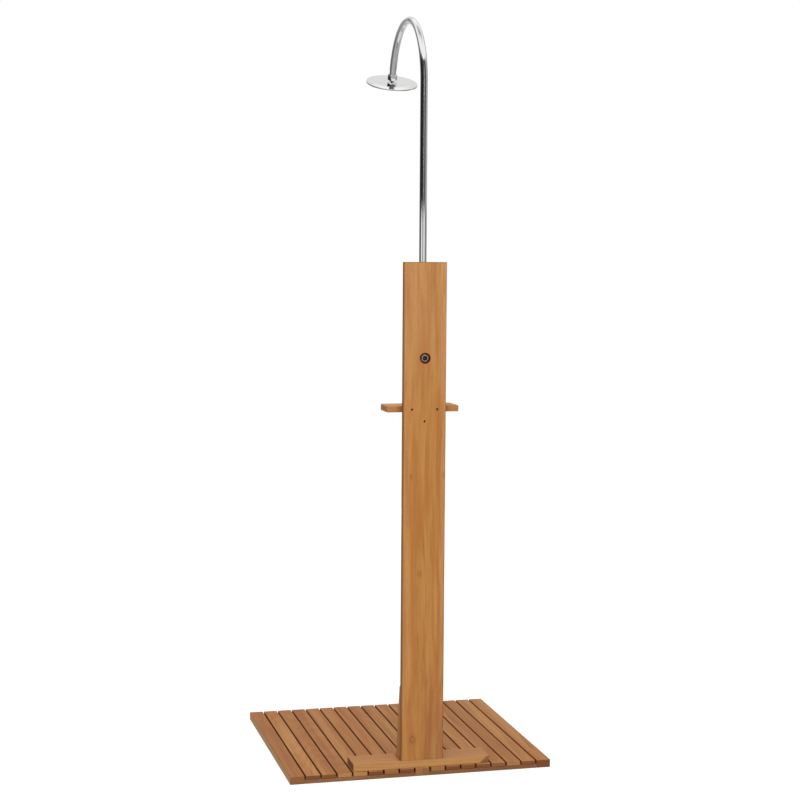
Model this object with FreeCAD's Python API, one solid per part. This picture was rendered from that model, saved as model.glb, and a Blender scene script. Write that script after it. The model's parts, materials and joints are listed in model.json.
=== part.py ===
import FreeCAD, Part
import math
import os

# Outdoor shower: a slatted deck in two panels, an upright plank on a foot board at the deck's near edge,
# a lever valve, a riser bent over in a swan neck, and a round rose on a ball joint.
# Millimetres. Origin at the middle of the deck's footprint, +X across, +Y from the plank towards the
# bather, +Z up. The hose inlet faces -Y.

Vector = FreeCAD.Vector
X_AXIS = Vector(1, 0, 0)
Y_AXIS = Vector(0, 1, 0)
Z_AXIS = Vector(0, 0, 1)

# ---- deck ----
DECK_W = 800.0              # across both panels
DECK_D = 730.0              # along the slats
SLAT_T = 13.0
CROSS_T = 11.0              # cross rails under the slats
SLATS_PER_PANEL = 7
SLAT_GAP = 4.5
NEAR_RAIL_W = 95.0          # carries the foot board
CROSS_RAIL_W = 45.0         # middle and far
TENON_L = 12.0
TENON_T = 5.0
TENON_SHOULDER = 9.0        # each side of a tenon
TENON_FIT = 0.1
EASE = 1.0                  # arrises of every board

# ---- foot board, plank, braces ----
FOOT_W = 418.0
FOOT_D = 85.0
FOOT_T = 23.0
FOOT_INSET = 6.0            # back of the foot board from the deck's near edge
WANE = (37.0, 14.0, 34.0)   # bark edge missing from one lower corner, along X, Y and Z
FOOT_SCREW_EDGE = 18.0      # screw rows from the board's long edges
FOOT_SCREW_SLATS = (2, 4)   # slats, counted out from the middle, that take foot board screws
POST_W = 128.0
POST_T = 20.0
POST_TOP = 1525.0
POST_SCREW_SPREAD = 40.0
KNEE_T = 20.0
KNEE_H = 222.0
KNEE_D = 44.0
KNEE_TIP = 8.0
KNEE_TOE = 10.0
KNEE_SCREW_DROP = 26.0      # below the brace's top
KNEE_SCREW_SEAT = 5.0       # wood under the screw head

# ---- shelf ----
SHELF_W = 216.0
SHELF_D = 90.0
SHELF_T = 18.0
SHELF_TOP = 1104.0
SHELF_CORNER_R = 10.0
SHELF_SCREW_SPREAD = 38.0
BRACKET_T = 22.0
BRACKET_H = 72.0
BRACKET_D = 68.0
BRACKET_TIP = 12.0
BRACKET_TOE = 8.0
BRACKET_SCREW_DROP = 26.0   # below the shelf's underside

# ---- wood screws ----
SCREW_R = 2.0
SCREW_HEAD_R = 3.5
SCREW_HEAD_H = 2.0
SCREW_SINK = 0.3            # head below the surface
BACK_SINK = 3.0             # the three in the plank's back sit in deeper holes
SCREW_FIT = 0.05
SLAT_BITE = 8.0
FOOT_BITE = 15.0
POST_BITE = 36.0
SHELF_BITE = 24.0
KNEE_BITE = 13.0
PLATE_BITE = 13.0

# ---- bolts that join the panels ----
BOLT_R = 2.5
BOLT_HEAD_R = 4.8
BOLT_HEAD_H = 3.5
BOLT_END = 2.0
BOLT_FIT = 0.1
NUT_AF = 8.0
NUT_H = 4.0

# ---- hose inlet and valve, measured from the plank's front face along +Y ----
INLET_Z = 1245.0
RECESS_R = 16.0             # hole through the plank
TAIL_R = 15.0
TAIL_BACK = 8.0             # tail reaches into the hole
SPIGOT_R = 10.48            # half-inch pipe thread
SPIGOT_BORE_R = 7.0
SPIGOT_SUNK = 2.0           # end below the plank's back
SPIGOT_ROOT_R = 9.0         # threaded into the tail, up to a shoulder
SPIGOT_DEPTH = 8.5
THREAD_FIT = 0.03
WASHER_T = 1.5
PLATE_R = 30.0
PLATE_T = 4.0
PLATE_SCREW_SPREAD = 25.0
BODY_R = 20.0
BODY_END = 46.0
BODY_BEVEL = 2.0
FEED_R = 6.0
CHAMBER_START = 10.0
CHAMBER_R = 10.0
OUTLET_R = 7.5
RISER_OUT = 15.0            # riser axis from the plank's front
NECK_R = 10.0
NECK_H = 31.0               # above the valve axis
BOSS_R = 12.0
BOSS_H = 14.0
CARTRIDGE_NOSE_R = 8.0
CARTRIDGE_NOSE_L = 18.0
CARTRIDGE_GAP = 0.5
CARTRIDGE_HEX_AF = 24.0
CARTRIDGE_HEX_T = 4.0
PORT_R = 5.0
PORT_L = 8.0
WINDOW_R = 3.0
SPINDLE_R = 4.0
SPINDLE_START = 20.0
SPINDLE_FIT = 0.05
SPINDLE_END_GAP = 0.3

# ---- handle ----
HANDLE_GAP = 0.5
HUB_R = 18.0
HUB_FRONT_R = 15.0
HUB_L = 27.0
HUB_BEVEL = 2.5
CAP_R = 6.0
CAP_T = 2.5
CAP_FIT = 0.05
HANDLE_SCREW_R = 2.0
HANDLE_SCREW_HEAD_R = 3.5
HANDLE_SCREW_HEAD_H = 2.5
HANDLE_SCREW_L = 12.0
LEVER_L = 58.0
LEVER_ROOT_W = 16.0
LEVER_TIP_R = 6.0
LEVER_T = 9.0
LEVER_BACK = 8.0            # from the hub's back face

# ---- union, riser and swan neck ----
PIPE_R = 11.0
PIPE_WALL = 1.2
COLLAR_R = 11.95
COLLAR_T = 2.5
SEAL_T = 1.5
SEAL_RING_W = 3.8
UNION_AF = 27.0
UNION_SKIRT = 12.0          # thread covered by the nut
UNION_LIP = 4.0
UNION_FIT = 0.05
ARM_R = 193.0
ARM_SWEEP = 159.0           # degrees
ARM_TOP = 2242.0            # highest point of the tube's centre line
ARM_TAIL = 5.0
CLIP_DROP = 40.0            # below the plank's top
CLIP_H = 16.0
CLIP_WALL = 2.5
CLIP_EAR = 26.0
CLIP_SCREW_SPREAD = 20.0

# ---- ball joint and rose, measured from the end of the arm along its last direction ----
TIP_R = 10.45
TIP_BORE_R = 6.0
TIP_PLUG = 4.5
TIP_END = 20.0
BALLNUT_AF = 26.5
BALLNUT_R = 14.8            # corners turned down to this
BALLNUT_START = 14.0
BALLNUT_END = 34.0
BALLNUT_BEVEL = 3.5
BALLNUT_TOP_BEVEL = 1.5
BALLNUT_STEP = 1.0          # thread runs on past the tip
BALL_R = 7.5
BALL_AT = 27.0
BALL_FIT = 0.1
STEM_R = 4.0
STEM_BORE_R = 2.5
MOUTH_R = 5.8
MOUTH_FLARE_R = 7.6
SEAT_R = 9.0
SEAT_BORE_R = 5.6
SEAT_END = 25.0
ROSE_R = 80.0
ROSE_TOP = 37.0
ROSE_HUB_R = 20.0
ROSE_DROP = 3.0             # rim below the hub
ROSE_CROWN_R = 61.0         # raised middle of the top
ROSE_CROWN_DROP = 1.4       # its edge below the hub
ROSE_STEP_W = 1.4           # sloped step round it
ROSE_STEP_H = 1.2
ROSE_RIM_T = 4.5
ROSE_RIM_BEVEL = 0.8
ROSE_WALL = 1.6
ROSE_BOSS_R = 9.0
ROSE_BOSS_H = 4.5
STEM_THREAD_R = 4.95
FACE_T = 1.9
FACE_FIT = 0.1
ROSE_SEAL_W = 3.0
ROSE_SCREWS = 3
ROSE_SCREW_AT = 64.0
ROSE_SCREW_BOSS_R = 3.6
ROSE_SCREW_R = 1.2
ROSE_SCREW_HEAD_R = 2.2
ROSE_SCREW_HEAD_H = 1.0
ROSE_SCREW_L = 3.2

PAST = 1.0                  # cutting tools run past a face by this

# ---- sizes that follow ----
DECK_H = CROSS_T + SLAT_T
POSITIONS = 2 * SLATS_PER_PANEL + 3
SLAT_W = (DECK_W - (POSITIONS - 1) * SLAT_GAP) / POSITIONS
PITCH = SLAT_W + SLAT_GAP
NEAR = -DECK_D / 2
FAR = DECK_D / 2
HALF_RAIL = SLAT_W / 2

FOOT_TOP = DECK_H + FOOT_T
POST_BACK = NEAR + FOOT_INSET
POST_FRONT = POST_BACK + POST_T
POST_MID = POST_BACK + POST_T / 2
SHELF_UNDER = SHELF_TOP - SHELF_T

VALVE = Vector(0, POST_FRONT, INLET_Z)
RISER_Y = POST_FRONT + RISER_OUT
BOSS_TOP = NECK_H + BOSS_H
SEAL_TOP = BOSS_TOP + SEAL_T
COLLAR_TOP = SEAL_TOP + COLLAR_T
PIPE_BORE = PIPE_R - PIPE_WALL
HEX_END = BODY_END + CARTRIDGE_HEX_T
HUB_START = HEX_END + HANDLE_GAP
HUB_END = HUB_START + HUB_L
SCREW_SEAT = HUB_END - CAP_T - HANDLE_SCREW_HEAD_H

ARC_Z = ARM_TOP - ARM_R
SWEEP = math.radians(ARM_SWEEP)
ARC_END = Vector(0, RISER_Y + ARM_R * (1 - math.cos(SWEEP)), ARC_Z + ARM_R * math.sin(SWEEP))
ARM_AXIS = Vector(0, math.sin(SWEEP), math.cos(SWEEP))
ARM_END = ARC_END + ARM_AXIS * ARM_TAIL
ROSE_RIM = ROSE_TOP + ROSE_DROP
ROSE_END = ROSE_RIM + ROSE_RIM_T
ROSE_LEDGE = ROSE_RIM + ROSE_WALL
FACE_START = ROSE_END - FACE_T
CLIP_Z = POST_TOP - CLIP_DROP


# ---- shapes ----
def box(x0, x1, y0, y1, z0, z1):
    return Part.makeBox(x1 - x0, y1 - y0, z1 - z0, Vector(x0, y0, z0))


def eased(solid, amount=EASE):
    """The same board with every arris chamfered."""
    return solid.makeChamfer(amount, solid.Edges)


def board(x0, x1, y0, y1, z0, z1):
    return eased(box(x0, x1, y0, y1, z0, z1))


def rod(radius, start, end):
    """A round bar between two points."""
    along = end - start
    return Part.makeCylinder(radius, along.Length, start, along)


def turned(points, origin, axis):
    """A solid of revolution; each point is (radius, distance along the axis)."""
    corners = [Vector(radius, 0, distance) for radius, distance in points]
    solid = Part.Face(Part.makePolygon(corners + corners[:1])).revolve(Vector(), Z_AXIS, 360)
    solid.Placement = FreeCAD.Placement(origin, FreeCAD.Rotation(Z_AXIS, axis))
    return solid


def ring(outer, inner, start, end, origin, axis):
    return turned([(inner, start), (outer, start), (outer, end), (inner, end)], origin, axis)


def hexagon(across_flats, start, end, origin, axis):
    """A hexagonal prism along an axis, with flats square to the second direction."""
    radius = across_flats / math.sqrt(3)
    corners = [Vector(radius * math.cos(math.radians(60 * k)), radius * math.sin(math.radians(60 * k)), start)
               for k in range(6)]
    prism = Part.Face(Part.makePolygon(corners + corners[:1])).extrude(Z_AXIS * (end - start))
    prism.Placement = FreeCAD.Placement(origin, FreeCAD.Rotation(Z_AXIS, axis))
    return prism


def prism(profile, x0, x1):
    """A shape of constant section across X; profile is a list of (y, z)."""
    corners = [Vector(x0, y, z) for y, z in profile]
    return Part.Face(Part.makePolygon(corners + corners[:1])).extrude(X_AXIS * (x1 - x0))


def wedge(x0, x1, z_wide, z_narrow, depth, tip, toe):
    """A long-legged bracket against the plank's front, deep at z_wide and shallow at z_narrow."""
    rise = math.copysign(toe, z_narrow - z_wide)
    profile = [(POST_FRONT, z_wide), (POST_FRONT + depth, z_wide), (POST_FRONT + depth, z_wide + rise),
               (POST_FRONT + tip, z_narrow), (POST_FRONT, z_narrow)]
    return eased(prism(profile, x0, x1))


def group(solids):
    return Part.makeCompound(solids)


def cut(solid, tools):
    """The solid with a list of tools taken out of it."""
    return solid.cut(group(tools)) if tools else solid


# ---- countersunk wood screws ----
def screw(surface, direction, length, sink=SCREW_SINK):
    """A screw whose head lies below the surface point by the sink, driven along direction."""
    profile = [(0, sink), (SCREW_HEAD_R, sink), (SCREW_R, sink + SCREW_HEAD_H),
               (SCREW_R, length - SCREW_R), (0, length)]
    return turned(profile, surface, direction)


def screw_hole(surface, direction, length, sink=SCREW_SINK):
    head = SCREW_HEAD_R + SCREW_FIT
    shank = SCREW_R + SCREW_FIT
    profile = [(0, -PAST), (head, -PAST), (head, sink), (shank, sink + SCREW_HEAD_H),
               (shank, length), (0, length + SCREW_FIT)]
    return turned(profile, surface, direction)


def screws(places, length, sink=SCREW_SINK):
    return group([screw(point, direction, length, sink) for point, direction in places])


def screw_holes(places, length, sink=SCREW_SINK):
    return [screw_hole(point, direction, length, sink) for point, direction in places]


# ---- where the screws go ----
def slat_x(index):
    """Middle of a slat position, counted from the left edge."""
    return -DECK_W / 2 + SLAT_W / 2 + index * PITCH


MIDDLE = SLATS_PER_PANEL + 1
LEFT_SLATS = range(1, MIDDLE)
RIGHT_SLATS = range(MIDDLE + 1, POSITIONS - 1)
MID_RAIL_Y = (NEAR + NEAR_RAIL_W + FAR - CROSS_RAIL_W) / 2
CROSS_RAILS = {"near": (NEAR, NEAR + NEAR_RAIL_W),
               "middle": (MID_RAIL_Y - CROSS_RAIL_W / 2, MID_RAIL_Y + CROSS_RAIL_W / 2),
               "far": (FAR - CROSS_RAIL_W, FAR)}

SLAT_SCREW_L = CROSS_T + SLAT_BITE
SLAT_SCREWS = [(Vector(slat_x(index), sum(span) / 2, 0), Z_AXIS)
               for index in [*LEFT_SLATS, *RIGHT_SLATS] for span in CROSS_RAILS.values()]

FOOT_SCREW_L = DECK_H + FOOT_BITE
FOOT_SCREWS = [(Vector(slat_x(MIDDLE + side * step), y, 0), Z_AXIS)
               for side in (-1, 1) for step in FOOT_SCREW_SLATS
               for y in (POST_BACK + FOOT_SCREW_EDGE, POST_BACK + FOOT_D - FOOT_SCREW_EDGE)]

KNEE_MID_X = POST_W / 2 - KNEE_T / 2
POST_SCREW_L = FOOT_T + POST_BITE
POST_SCREWS = [(Vector(x, POST_MID, DECK_H), Z_AXIS) for x in (-POST_SCREW_SPREAD, 0, POST_SCREW_SPREAD)]
POST_SCREWS += [(Vector(x, POST_FRONT + KNEE_D / 2, DECK_H), Z_AXIS) for x in (-KNEE_MID_X, KNEE_MID_X)]

KNEE_SCREW_L = KNEE_SCREW_SEAT + KNEE_BITE
KNEE_SCREWS = [(Vector(x, POST_FRONT + KNEE_SCREW_SEAT, FOOT_TOP + KNEE_H - KNEE_SCREW_DROP), -Y_AXIS)
               for x in (-KNEE_MID_X, KNEE_MID_X)]

BACK_SCREW_L = POST_T + SHELF_BITE
BACK_SCREWS = [(Vector(x, POST_BACK, SHELF_TOP - SHELF_T / 2), Y_AXIS)
               for x in (-SHELF_SCREW_SPREAD, SHELF_SCREW_SPREAD)]
BACK_SCREWS += [(Vector(0, POST_BACK, SHELF_UNDER - BRACKET_SCREW_DROP), Y_AXIS)]

PLATE_SCREW_L = PLATE_T + PLATE_BITE
FITTING_SCREWS = [(Vector(x, POST_FRONT + PLATE_T, INLET_Z), -Y_AXIS)
                  for x in (-PLATE_SCREW_SPREAD, PLATE_SCREW_SPREAD)]
FITTING_SCREWS += [(Vector(x, POST_FRONT + PLATE_T, CLIP_Z), -Y_AXIS)
                   for x in (-CLIP_SCREW_SPREAD, CLIP_SCREW_SPREAD)]


# ---- deck ----
def tenon(x0, x1, span, fit=0.0):
    """The tongue at a cross rail's end; with a fit it is the mortise."""
    middle = CROSS_T / 2
    return box(x0, x1, span[0] + TENON_SHOULDER - fit, span[1] - TENON_SHOULDER + fit,
               middle - TENON_T / 2 - fit, middle + TENON_T / 2 + fit)


def cross_rail(inner_x, outer_x, span):
    """A rail under the slats from the inner rail's face to the side rail's, with a tenon at each end."""
    low, high = sorted((inner_x, outer_x))
    rail = board(low, high, span[0], span[1], 0, CROSS_T)
    rail = rail.fuse(tenon(low - TENON_L, low + EASE, span)).fuse(tenon(high - EASE, high + TENON_L, span))
    rail = rail.removeSplitter()
    near_here = [place for place in SLAT_SCREWS + FOOT_SCREWS
                 if low < place[0].x < high and span[0] < place[0].y < span[1]]
    return cut(rail, screw_holes(near_here, FOOT_SCREW_L))


def long_rail(x0, x1, mortise_x0, mortise_x1, bolts=()):
    """A full-height rail along the slats, with a mortise for each cross rail."""
    rail = board(x0, x1, NEAR, FAR, 0, DECK_H)
    mortises = [tenon(mortise_x0, mortise_x1, span, TENON_FIT) for span in CROSS_RAILS.values()]
    return cut(rail, mortises + list(bolts))


def slat(index):
    x = slat_x(index)
    plank = board(x - SLAT_W / 2, x + SLAT_W / 2, NEAR, FAR, CROSS_T, DECK_H)
    own = [place for place in SLAT_SCREWS if abs(place[0].x - x) < SLAT_W / 2]
    foot = [place for place in FOOT_SCREWS if abs(place[0].x - x) < SLAT_W / 2]
    return cut(plank, screw_holes(own, SLAT_SCREW_L) + screw_holes(foot, FOOT_SCREW_L))


def panel_bolts():
    """Bolts through both inner rails in the open bays under the slats, with their nuts and holes."""
    bays = ((CROSS_RAILS["near"][1] + CROSS_RAILS["middle"][0]) / 2,
            (CROSS_RAILS["middle"][1] + CROSS_RAILS["far"][0]) / 2)
    bolts, nuts, holes = [], [], []
    reach = HALF_RAIL + NUT_H + BOLT_END
    for y in bays:
        axis_point = Vector(0, y, CROSS_T / 2)
        tool_end = X_AXIS * (reach + PAST)
        bolts.append(turned([(0, -HALF_RAIL - BOLT_HEAD_H), (BOLT_HEAD_R, -HALF_RAIL - BOLT_HEAD_H),
                             (BOLT_HEAD_R, -HALF_RAIL), (BOLT_R, -HALF_RAIL), (BOLT_R, reach), (0, reach)],
                            axis_point, X_AXIS))
        nut = hexagon(NUT_AF, HALF_RAIL, HALF_RAIL + NUT_H, axis_point, X_AXIS)
        hole = rod(BOLT_R + BOLT_FIT, axis_point - X_AXIS * (HALF_RAIL + PAST), axis_point + tool_end)
        nuts.append(nut.cut(rod(BOLT_R + THREAD_FIT, axis_point, axis_point + tool_end)))
        holes.append(hole)
    return bolts, nuts, holes


def deck():
    bolts, nuts, holes = panel_bolts()
    side = DECK_W / 2 - SLAT_W
    pieces = {
        "deck_side_rail_left": long_rail(-DECK_W / 2, -side, -side - TENON_L - TENON_FIT, -side + PAST),
        "deck_side_rail_right": long_rail(side, DECK_W / 2, side - PAST, side + TENON_L + TENON_FIT),
        "deck_inner_rail_left": long_rail(-HALF_RAIL, 0, -HALF_RAIL - PAST,
                                          -HALF_RAIL + TENON_L + TENON_FIT, holes),
        "deck_inner_rail_right": long_rail(0, HALF_RAIL, HALF_RAIL - TENON_L - TENON_FIT,
                                           HALF_RAIL + PAST, holes),
        "deck_slat_screws": screws(SLAT_SCREWS, SLAT_SCREW_L),
        "panel_bolts": group(bolts),
        "panel_nuts": group(nuts),
    }
    for place, span in CROSS_RAILS.items():
        pieces["deck_cross_rail_left_" + place] = cross_rail(-HALF_RAIL, -side, span)
        pieces["deck_cross_rail_right_" + place] = cross_rail(HALF_RAIL, side, span)
    for number, index in enumerate([*LEFT_SLATS, *RIGHT_SLATS], start=1):
        pieces["deck_slat_%02d" % number] = slat(index)
    return pieces


# ---- post ----
def corner_piece(corner, legs):
    """A three-sided pyramid at a box corner; legs run from the corner along X, Y and Z."""
    tips = [corner + axis * leg for axis, leg in zip((X_AXIS, Y_AXIS, Z_AXIS), legs)]
    a, b, c = tips
    faces = [Part.Face(Part.makePolygon([p, q, r, p]))
             for p, q, r in ((corner, a, b), (corner, b, c), (corner, c, a), (a, b, c))]
    return Part.Solid(Part.Shell(faces))


def foot_board():
    plank = board(-FOOT_W / 2, FOOT_W / 2, POST_BACK, POST_BACK + FOOT_D, DECK_H, FOOT_TOP)
    corner = Vector(FOOT_W / 2 + EASE, POST_BACK - EASE, DECK_H - EASE)
    plank = plank.cut(corner_piece(corner, (-WANE[0], WANE[1], WANE[2])))
    return cut(plank, screw_holes(FOOT_SCREWS, FOOT_SCREW_L) + screw_holes(POST_SCREWS, POST_SCREW_L))


def post_plank():
    plank = board(-POST_W / 2, POST_W / 2, POST_BACK, POST_FRONT, FOOT_TOP, POST_TOP)
    recess = rod(RECESS_R, VALVE - Y_AXIS * (POST_T + PAST), VALVE + Y_AXIS * PAST)
    holes = screw_holes(POST_SCREWS, POST_SCREW_L) + screw_holes(KNEE_SCREWS, KNEE_SCREW_L)
    holes += screw_holes(BACK_SCREWS, BACK_SCREW_L, BACK_SINK) + screw_holes(FITTING_SCREWS, PLATE_SCREW_L)
    return cut(plank, holes + [recess])


def knee_brace(middle_x):
    """A wedge between the foot board and the plank, with a pocket for the screw's head."""
    brace = wedge(middle_x - KNEE_T / 2, middle_x + KNEE_T / 2, FOOT_TOP, FOOT_TOP + KNEE_H,
                  KNEE_D, KNEE_TIP, KNEE_TOE)
    own = [place for place in KNEE_SCREWS if abs(place[0].x - middle_x) < KNEE_T / 2]
    pockets = [rod(SCREW_HEAD_R + SCREW_FIT, point, point + Y_AXIS * KNEE_D) for point, _ in own]
    return cut(brace, pockets + screw_holes(own, KNEE_SCREW_L) + screw_holes(POST_SCREWS, POST_SCREW_L))


def shelf():
    slab = box(-SHELF_W / 2, SHELF_W / 2, POST_FRONT, POST_FRONT + SHELF_D, SHELF_UNDER, SHELF_TOP)
    front_corners = [edge for edge in slab.Edges
                     if abs(edge.tangentAt(edge.FirstParameter).z) > 0.5
                     and edge.CenterOfMass.y > POST_FRONT + SHELF_D / 2]
    slab = slab.makeFillet(SHELF_CORNER_R, front_corners)
    rims = [edge for face in slab.Faces if abs(face.normalAt(0, 0).z) > 0.5 for edge in face.Edges]
    return cut(slab.makeChamfer(EASE, rims), screw_holes(BACK_SCREWS, BACK_SCREW_L, BACK_SINK))


def shelf_bracket():
    bracket = wedge(-BRACKET_T / 2, BRACKET_T / 2, SHELF_UNDER, SHELF_UNDER - BRACKET_H,
                    BRACKET_D, BRACKET_TIP, BRACKET_TOE)
    return cut(bracket, screw_holes(BACK_SCREWS, BACK_SCREW_L, BACK_SINK))


def post():
    return {
        "foot_board": foot_board(),
        "foot_board_screws": screws(FOOT_SCREWS, FOOT_SCREW_L),
        "post_plank": post_plank(),
        "post_foot_screws": screws(POST_SCREWS, POST_SCREW_L),
        "knee_brace_left": knee_brace(-KNEE_MID_X),
        "knee_brace_right": knee_brace(KNEE_MID_X),
        "knee_brace_screws": screws(KNEE_SCREWS, KNEE_SCREW_L),
        "shelf": shelf(),
        "shelf_bracket": shelf_bracket(),
        "post_back_screws": screws(BACK_SCREWS, BACK_SCREW_L, BACK_SINK),
        "fitting_screws": screws(FITTING_SCREWS, PLATE_SCREW_L),
    }


# ---- hose inlet and valve ----
def valve_plate():
    plate = turned([(TAIL_R + THREAD_FIT, 0), (PLATE_R, 0), (PLATE_R, PLATE_T - EASE),
                    (PLATE_R - EASE, PLATE_T), (TAIL_R + THREAD_FIT, PLATE_T)], VALVE, Y_AXIS)
    return cut(plate, screw_holes(FITTING_SCREWS, PLATE_SCREW_L))


def valve_body():
    """Tail through the plank, a round body and a threaded boss for the riser on top."""
    riser = VALVE + Y_AXIS * RISER_OUT
    body = turned([(0, -TAIL_BACK), (TAIL_R, -TAIL_BACK), (TAIL_R, PLATE_T), (BODY_R, PLATE_T),
                   (BODY_R, BODY_END - BODY_BEVEL), (BODY_R - BODY_BEVEL, BODY_END), (0, BODY_END)],
                  VALVE, Y_AXIS)
    boss = turned([(0, 0), (NECK_R, 0), (NECK_R, NECK_H), (BOSS_R, NECK_H), (BOSS_R, BOSS_TOP),
                   (0, BOSS_TOP)], riser, Z_AXIS)
    bores = turned([(0, -TAIL_BACK - PAST), (SPIGOT_ROOT_R + THREAD_FIT, -TAIL_BACK - PAST),
                    (SPIGOT_ROOT_R + THREAD_FIT, SPIGOT_DEPTH + WASHER_T - TAIL_BACK),
                    (FEED_R, SPIGOT_DEPTH + WASHER_T - TAIL_BACK), (FEED_R, CHAMBER_START),
                    (CHAMBER_R, CHAMBER_START), (CHAMBER_R, BODY_END + PAST), (0, BODY_END + PAST)],
                   VALVE, Y_AXIS)
    outlet = rod(OUTLET_R, riser + Z_AXIS * (FEED_R + PAST), riser + Z_AXIS * (BOSS_TOP + PAST))
    return cut(body.fuse(boss), [bores, outlet])


def inlet_spigot():
    start = SPIGOT_SUNK - POST_T
    end = SPIGOT_DEPTH - TAIL_BACK
    return turned([(SPIGOT_BORE_R, start), (SPIGOT_R - EASE, start), (SPIGOT_R, start + EASE),
                   (SPIGOT_R, -TAIL_BACK), (SPIGOT_ROOT_R, -TAIL_BACK), (SPIGOT_ROOT_R, end),
                   (SPIGOT_BORE_R, end)], VALVE, Y_AXIS)


def valve_cartridge():
    """Ceramic-disc cartridge: nose in the chamber, threaded shank, hexagon outside."""
    start = CHAMBER_START + CARTRIDGE_GAP
    shank = start + CARTRIDGE_NOSE_L
    thread = CHAMBER_R - THREAD_FIT
    core = turned([(0, start), (CARTRIDGE_NOSE_R, start), (CARTRIDGE_NOSE_R, shank), (thread, shank),
                   (thread, BODY_END), (0, BODY_END)], VALVE, Y_AXIS)
    head = hexagon(CARTRIDGE_HEX_AF, BODY_END, HEX_END, VALVE, Y_AXIS)
    spindle_hole = rod(SPINDLE_R + SPINDLE_FIT, VALVE + Y_AXIS * SPINDLE_START,
                       VALVE + Y_AXIS * (HEX_END + PAST))
    port = rod(PORT_R, VALVE + Y_AXIS * (start - PAST), VALVE + Y_AXIS * (start + PORT_L))
    window_foot = VALVE + Y_AXIS * (start + PORT_L / 2)
    window = rod(WINDOW_R, window_foot, window_foot + Z_AXIS * (CARTRIDGE_NOSE_R + PAST))
    return cut(core.fuse(head), [spindle_hole, port, window])


def valve_spindle():
    spindle = rod(SPINDLE_R, VALVE + Y_AXIS * (SPINDLE_START + SPINDLE_END_GAP), VALVE + Y_AXIS * SCREW_SEAT)
    thread = rod(HANDLE_SCREW_R + THREAD_FIT, VALVE + Y_AXIS * (SCREW_SEAT - HANDLE_SCREW_L - THREAD_FIT),
                 VALVE + Y_AXIS * (SCREW_SEAT + PAST))
    return spindle.cut(thread)


def valve_handle():
    """Round hub with a flat lever that hangs down when the valve is shut."""
    hub = turned([(0, HUB_START), (HUB_R - EASE, HUB_START), (HUB_R, HUB_START + EASE),
                  (HUB_FRONT_R + HUB_BEVEL, HUB_END - HUB_BEVEL), (HUB_FRONT_R, HUB_END), (0, HUB_END)],
                 VALVE, Y_AXIS)
    back = POST_FRONT + HUB_START + LEVER_BACK
    outline = [Vector(-LEVER_ROOT_W / 2, back, INLET_Z), Vector(LEVER_ROOT_W / 2, back, INLET_Z),
               Vector(LEVER_TIP_R, back, INLET_Z - LEVER_L), Vector(-LEVER_TIP_R, back, INLET_Z - LEVER_L)]
    blade = Part.Face(Part.makePolygon(outline + outline[:1])).extrude(Y_AXIS * LEVER_T)
    tip = rod(LEVER_TIP_R, Vector(0, back, INLET_Z - LEVER_L), Vector(0, back + LEVER_T, INLET_Z - LEVER_L))
    shaft = SPINDLE_R + SPINDLE_FIT
    bore = turned([(0, HUB_START - PAST), (shaft, HUB_START - PAST), (shaft, SCREW_SEAT),
                   (CAP_R, SCREW_SEAT), (CAP_R, HUB_END + PAST), (0, HUB_END + PAST)], VALVE, Y_AXIS)
    return hub.fuse(blade).fuse(tip).removeSplitter().cut(bore)


def handle_screw():
    head_end = SCREW_SEAT + HANDLE_SCREW_HEAD_H
    return turned([(0, SCREW_SEAT - HANDLE_SCREW_L), (HANDLE_SCREW_R, SCREW_SEAT - HANDLE_SCREW_L),
                   (HANDLE_SCREW_R, SCREW_SEAT), (HANDLE_SCREW_HEAD_R, SCREW_SEAT),
                   (HANDLE_SCREW_HEAD_R, head_end), (0, head_end)], VALVE, Y_AXIS)


def valve():
    washer_start = SPIGOT_DEPTH - TAIL_BACK
    return {
        "valve_plate": valve_plate(),
        "valve_body": valve_body(),
        "inlet_spigot": inlet_spigot(),
        "inlet_washer": ring(SPIGOT_ROOT_R - THREAD_FIT, SPIGOT_BORE_R, washer_start, washer_start + WASHER_T,
                             VALVE, Y_AXIS),
        "valve_cartridge": valve_cartridge(),
        "valve_spindle": valve_spindle(),
        "valve_handle": valve_handle(),
        "handle_screw": handle_screw(),
        "handle_cap": ring(CAP_R - CAP_FIT, 0, HUB_END - CAP_T, HUB_END, VALVE, Y_AXIS),
    }


# ---- union, riser and swan neck ----
def arm_bar(radius):
    """The solid bar along the riser, the bend and the short straight tail."""
    foot = Vector(0, RISER_Y, INLET_Z + SEAL_TOP)
    bend_start = Vector(0, RISER_Y, ARC_Z)
    section = Part.Face(Part.Wire(Part.makeCircle(radius, bend_start, Z_AXIS)))
    bend = section.revolve(bend_start + Y_AXIS * ARM_R, -X_AXIS, ARM_SWEEP)
    return rod(radius, foot, bend_start).fuse([bend, rod(radius, ARC_END, ARM_END)])


def shower_arm():
    foot = Vector(0, RISER_Y, INLET_Z + SEAL_TOP)
    collar = rod(COLLAR_R, foot, foot + Z_AXIS * COLLAR_T)
    bore = arm_bar(PIPE_BORE).fuse([rod(PIPE_BORE, foot - Z_AXIS * PAST, foot),
                                    rod(PIPE_BORE, ARM_END, ARM_END + ARM_AXIS * PAST)])
    return arm_bar(PIPE_R).fuse(collar).cut(bore)


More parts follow.
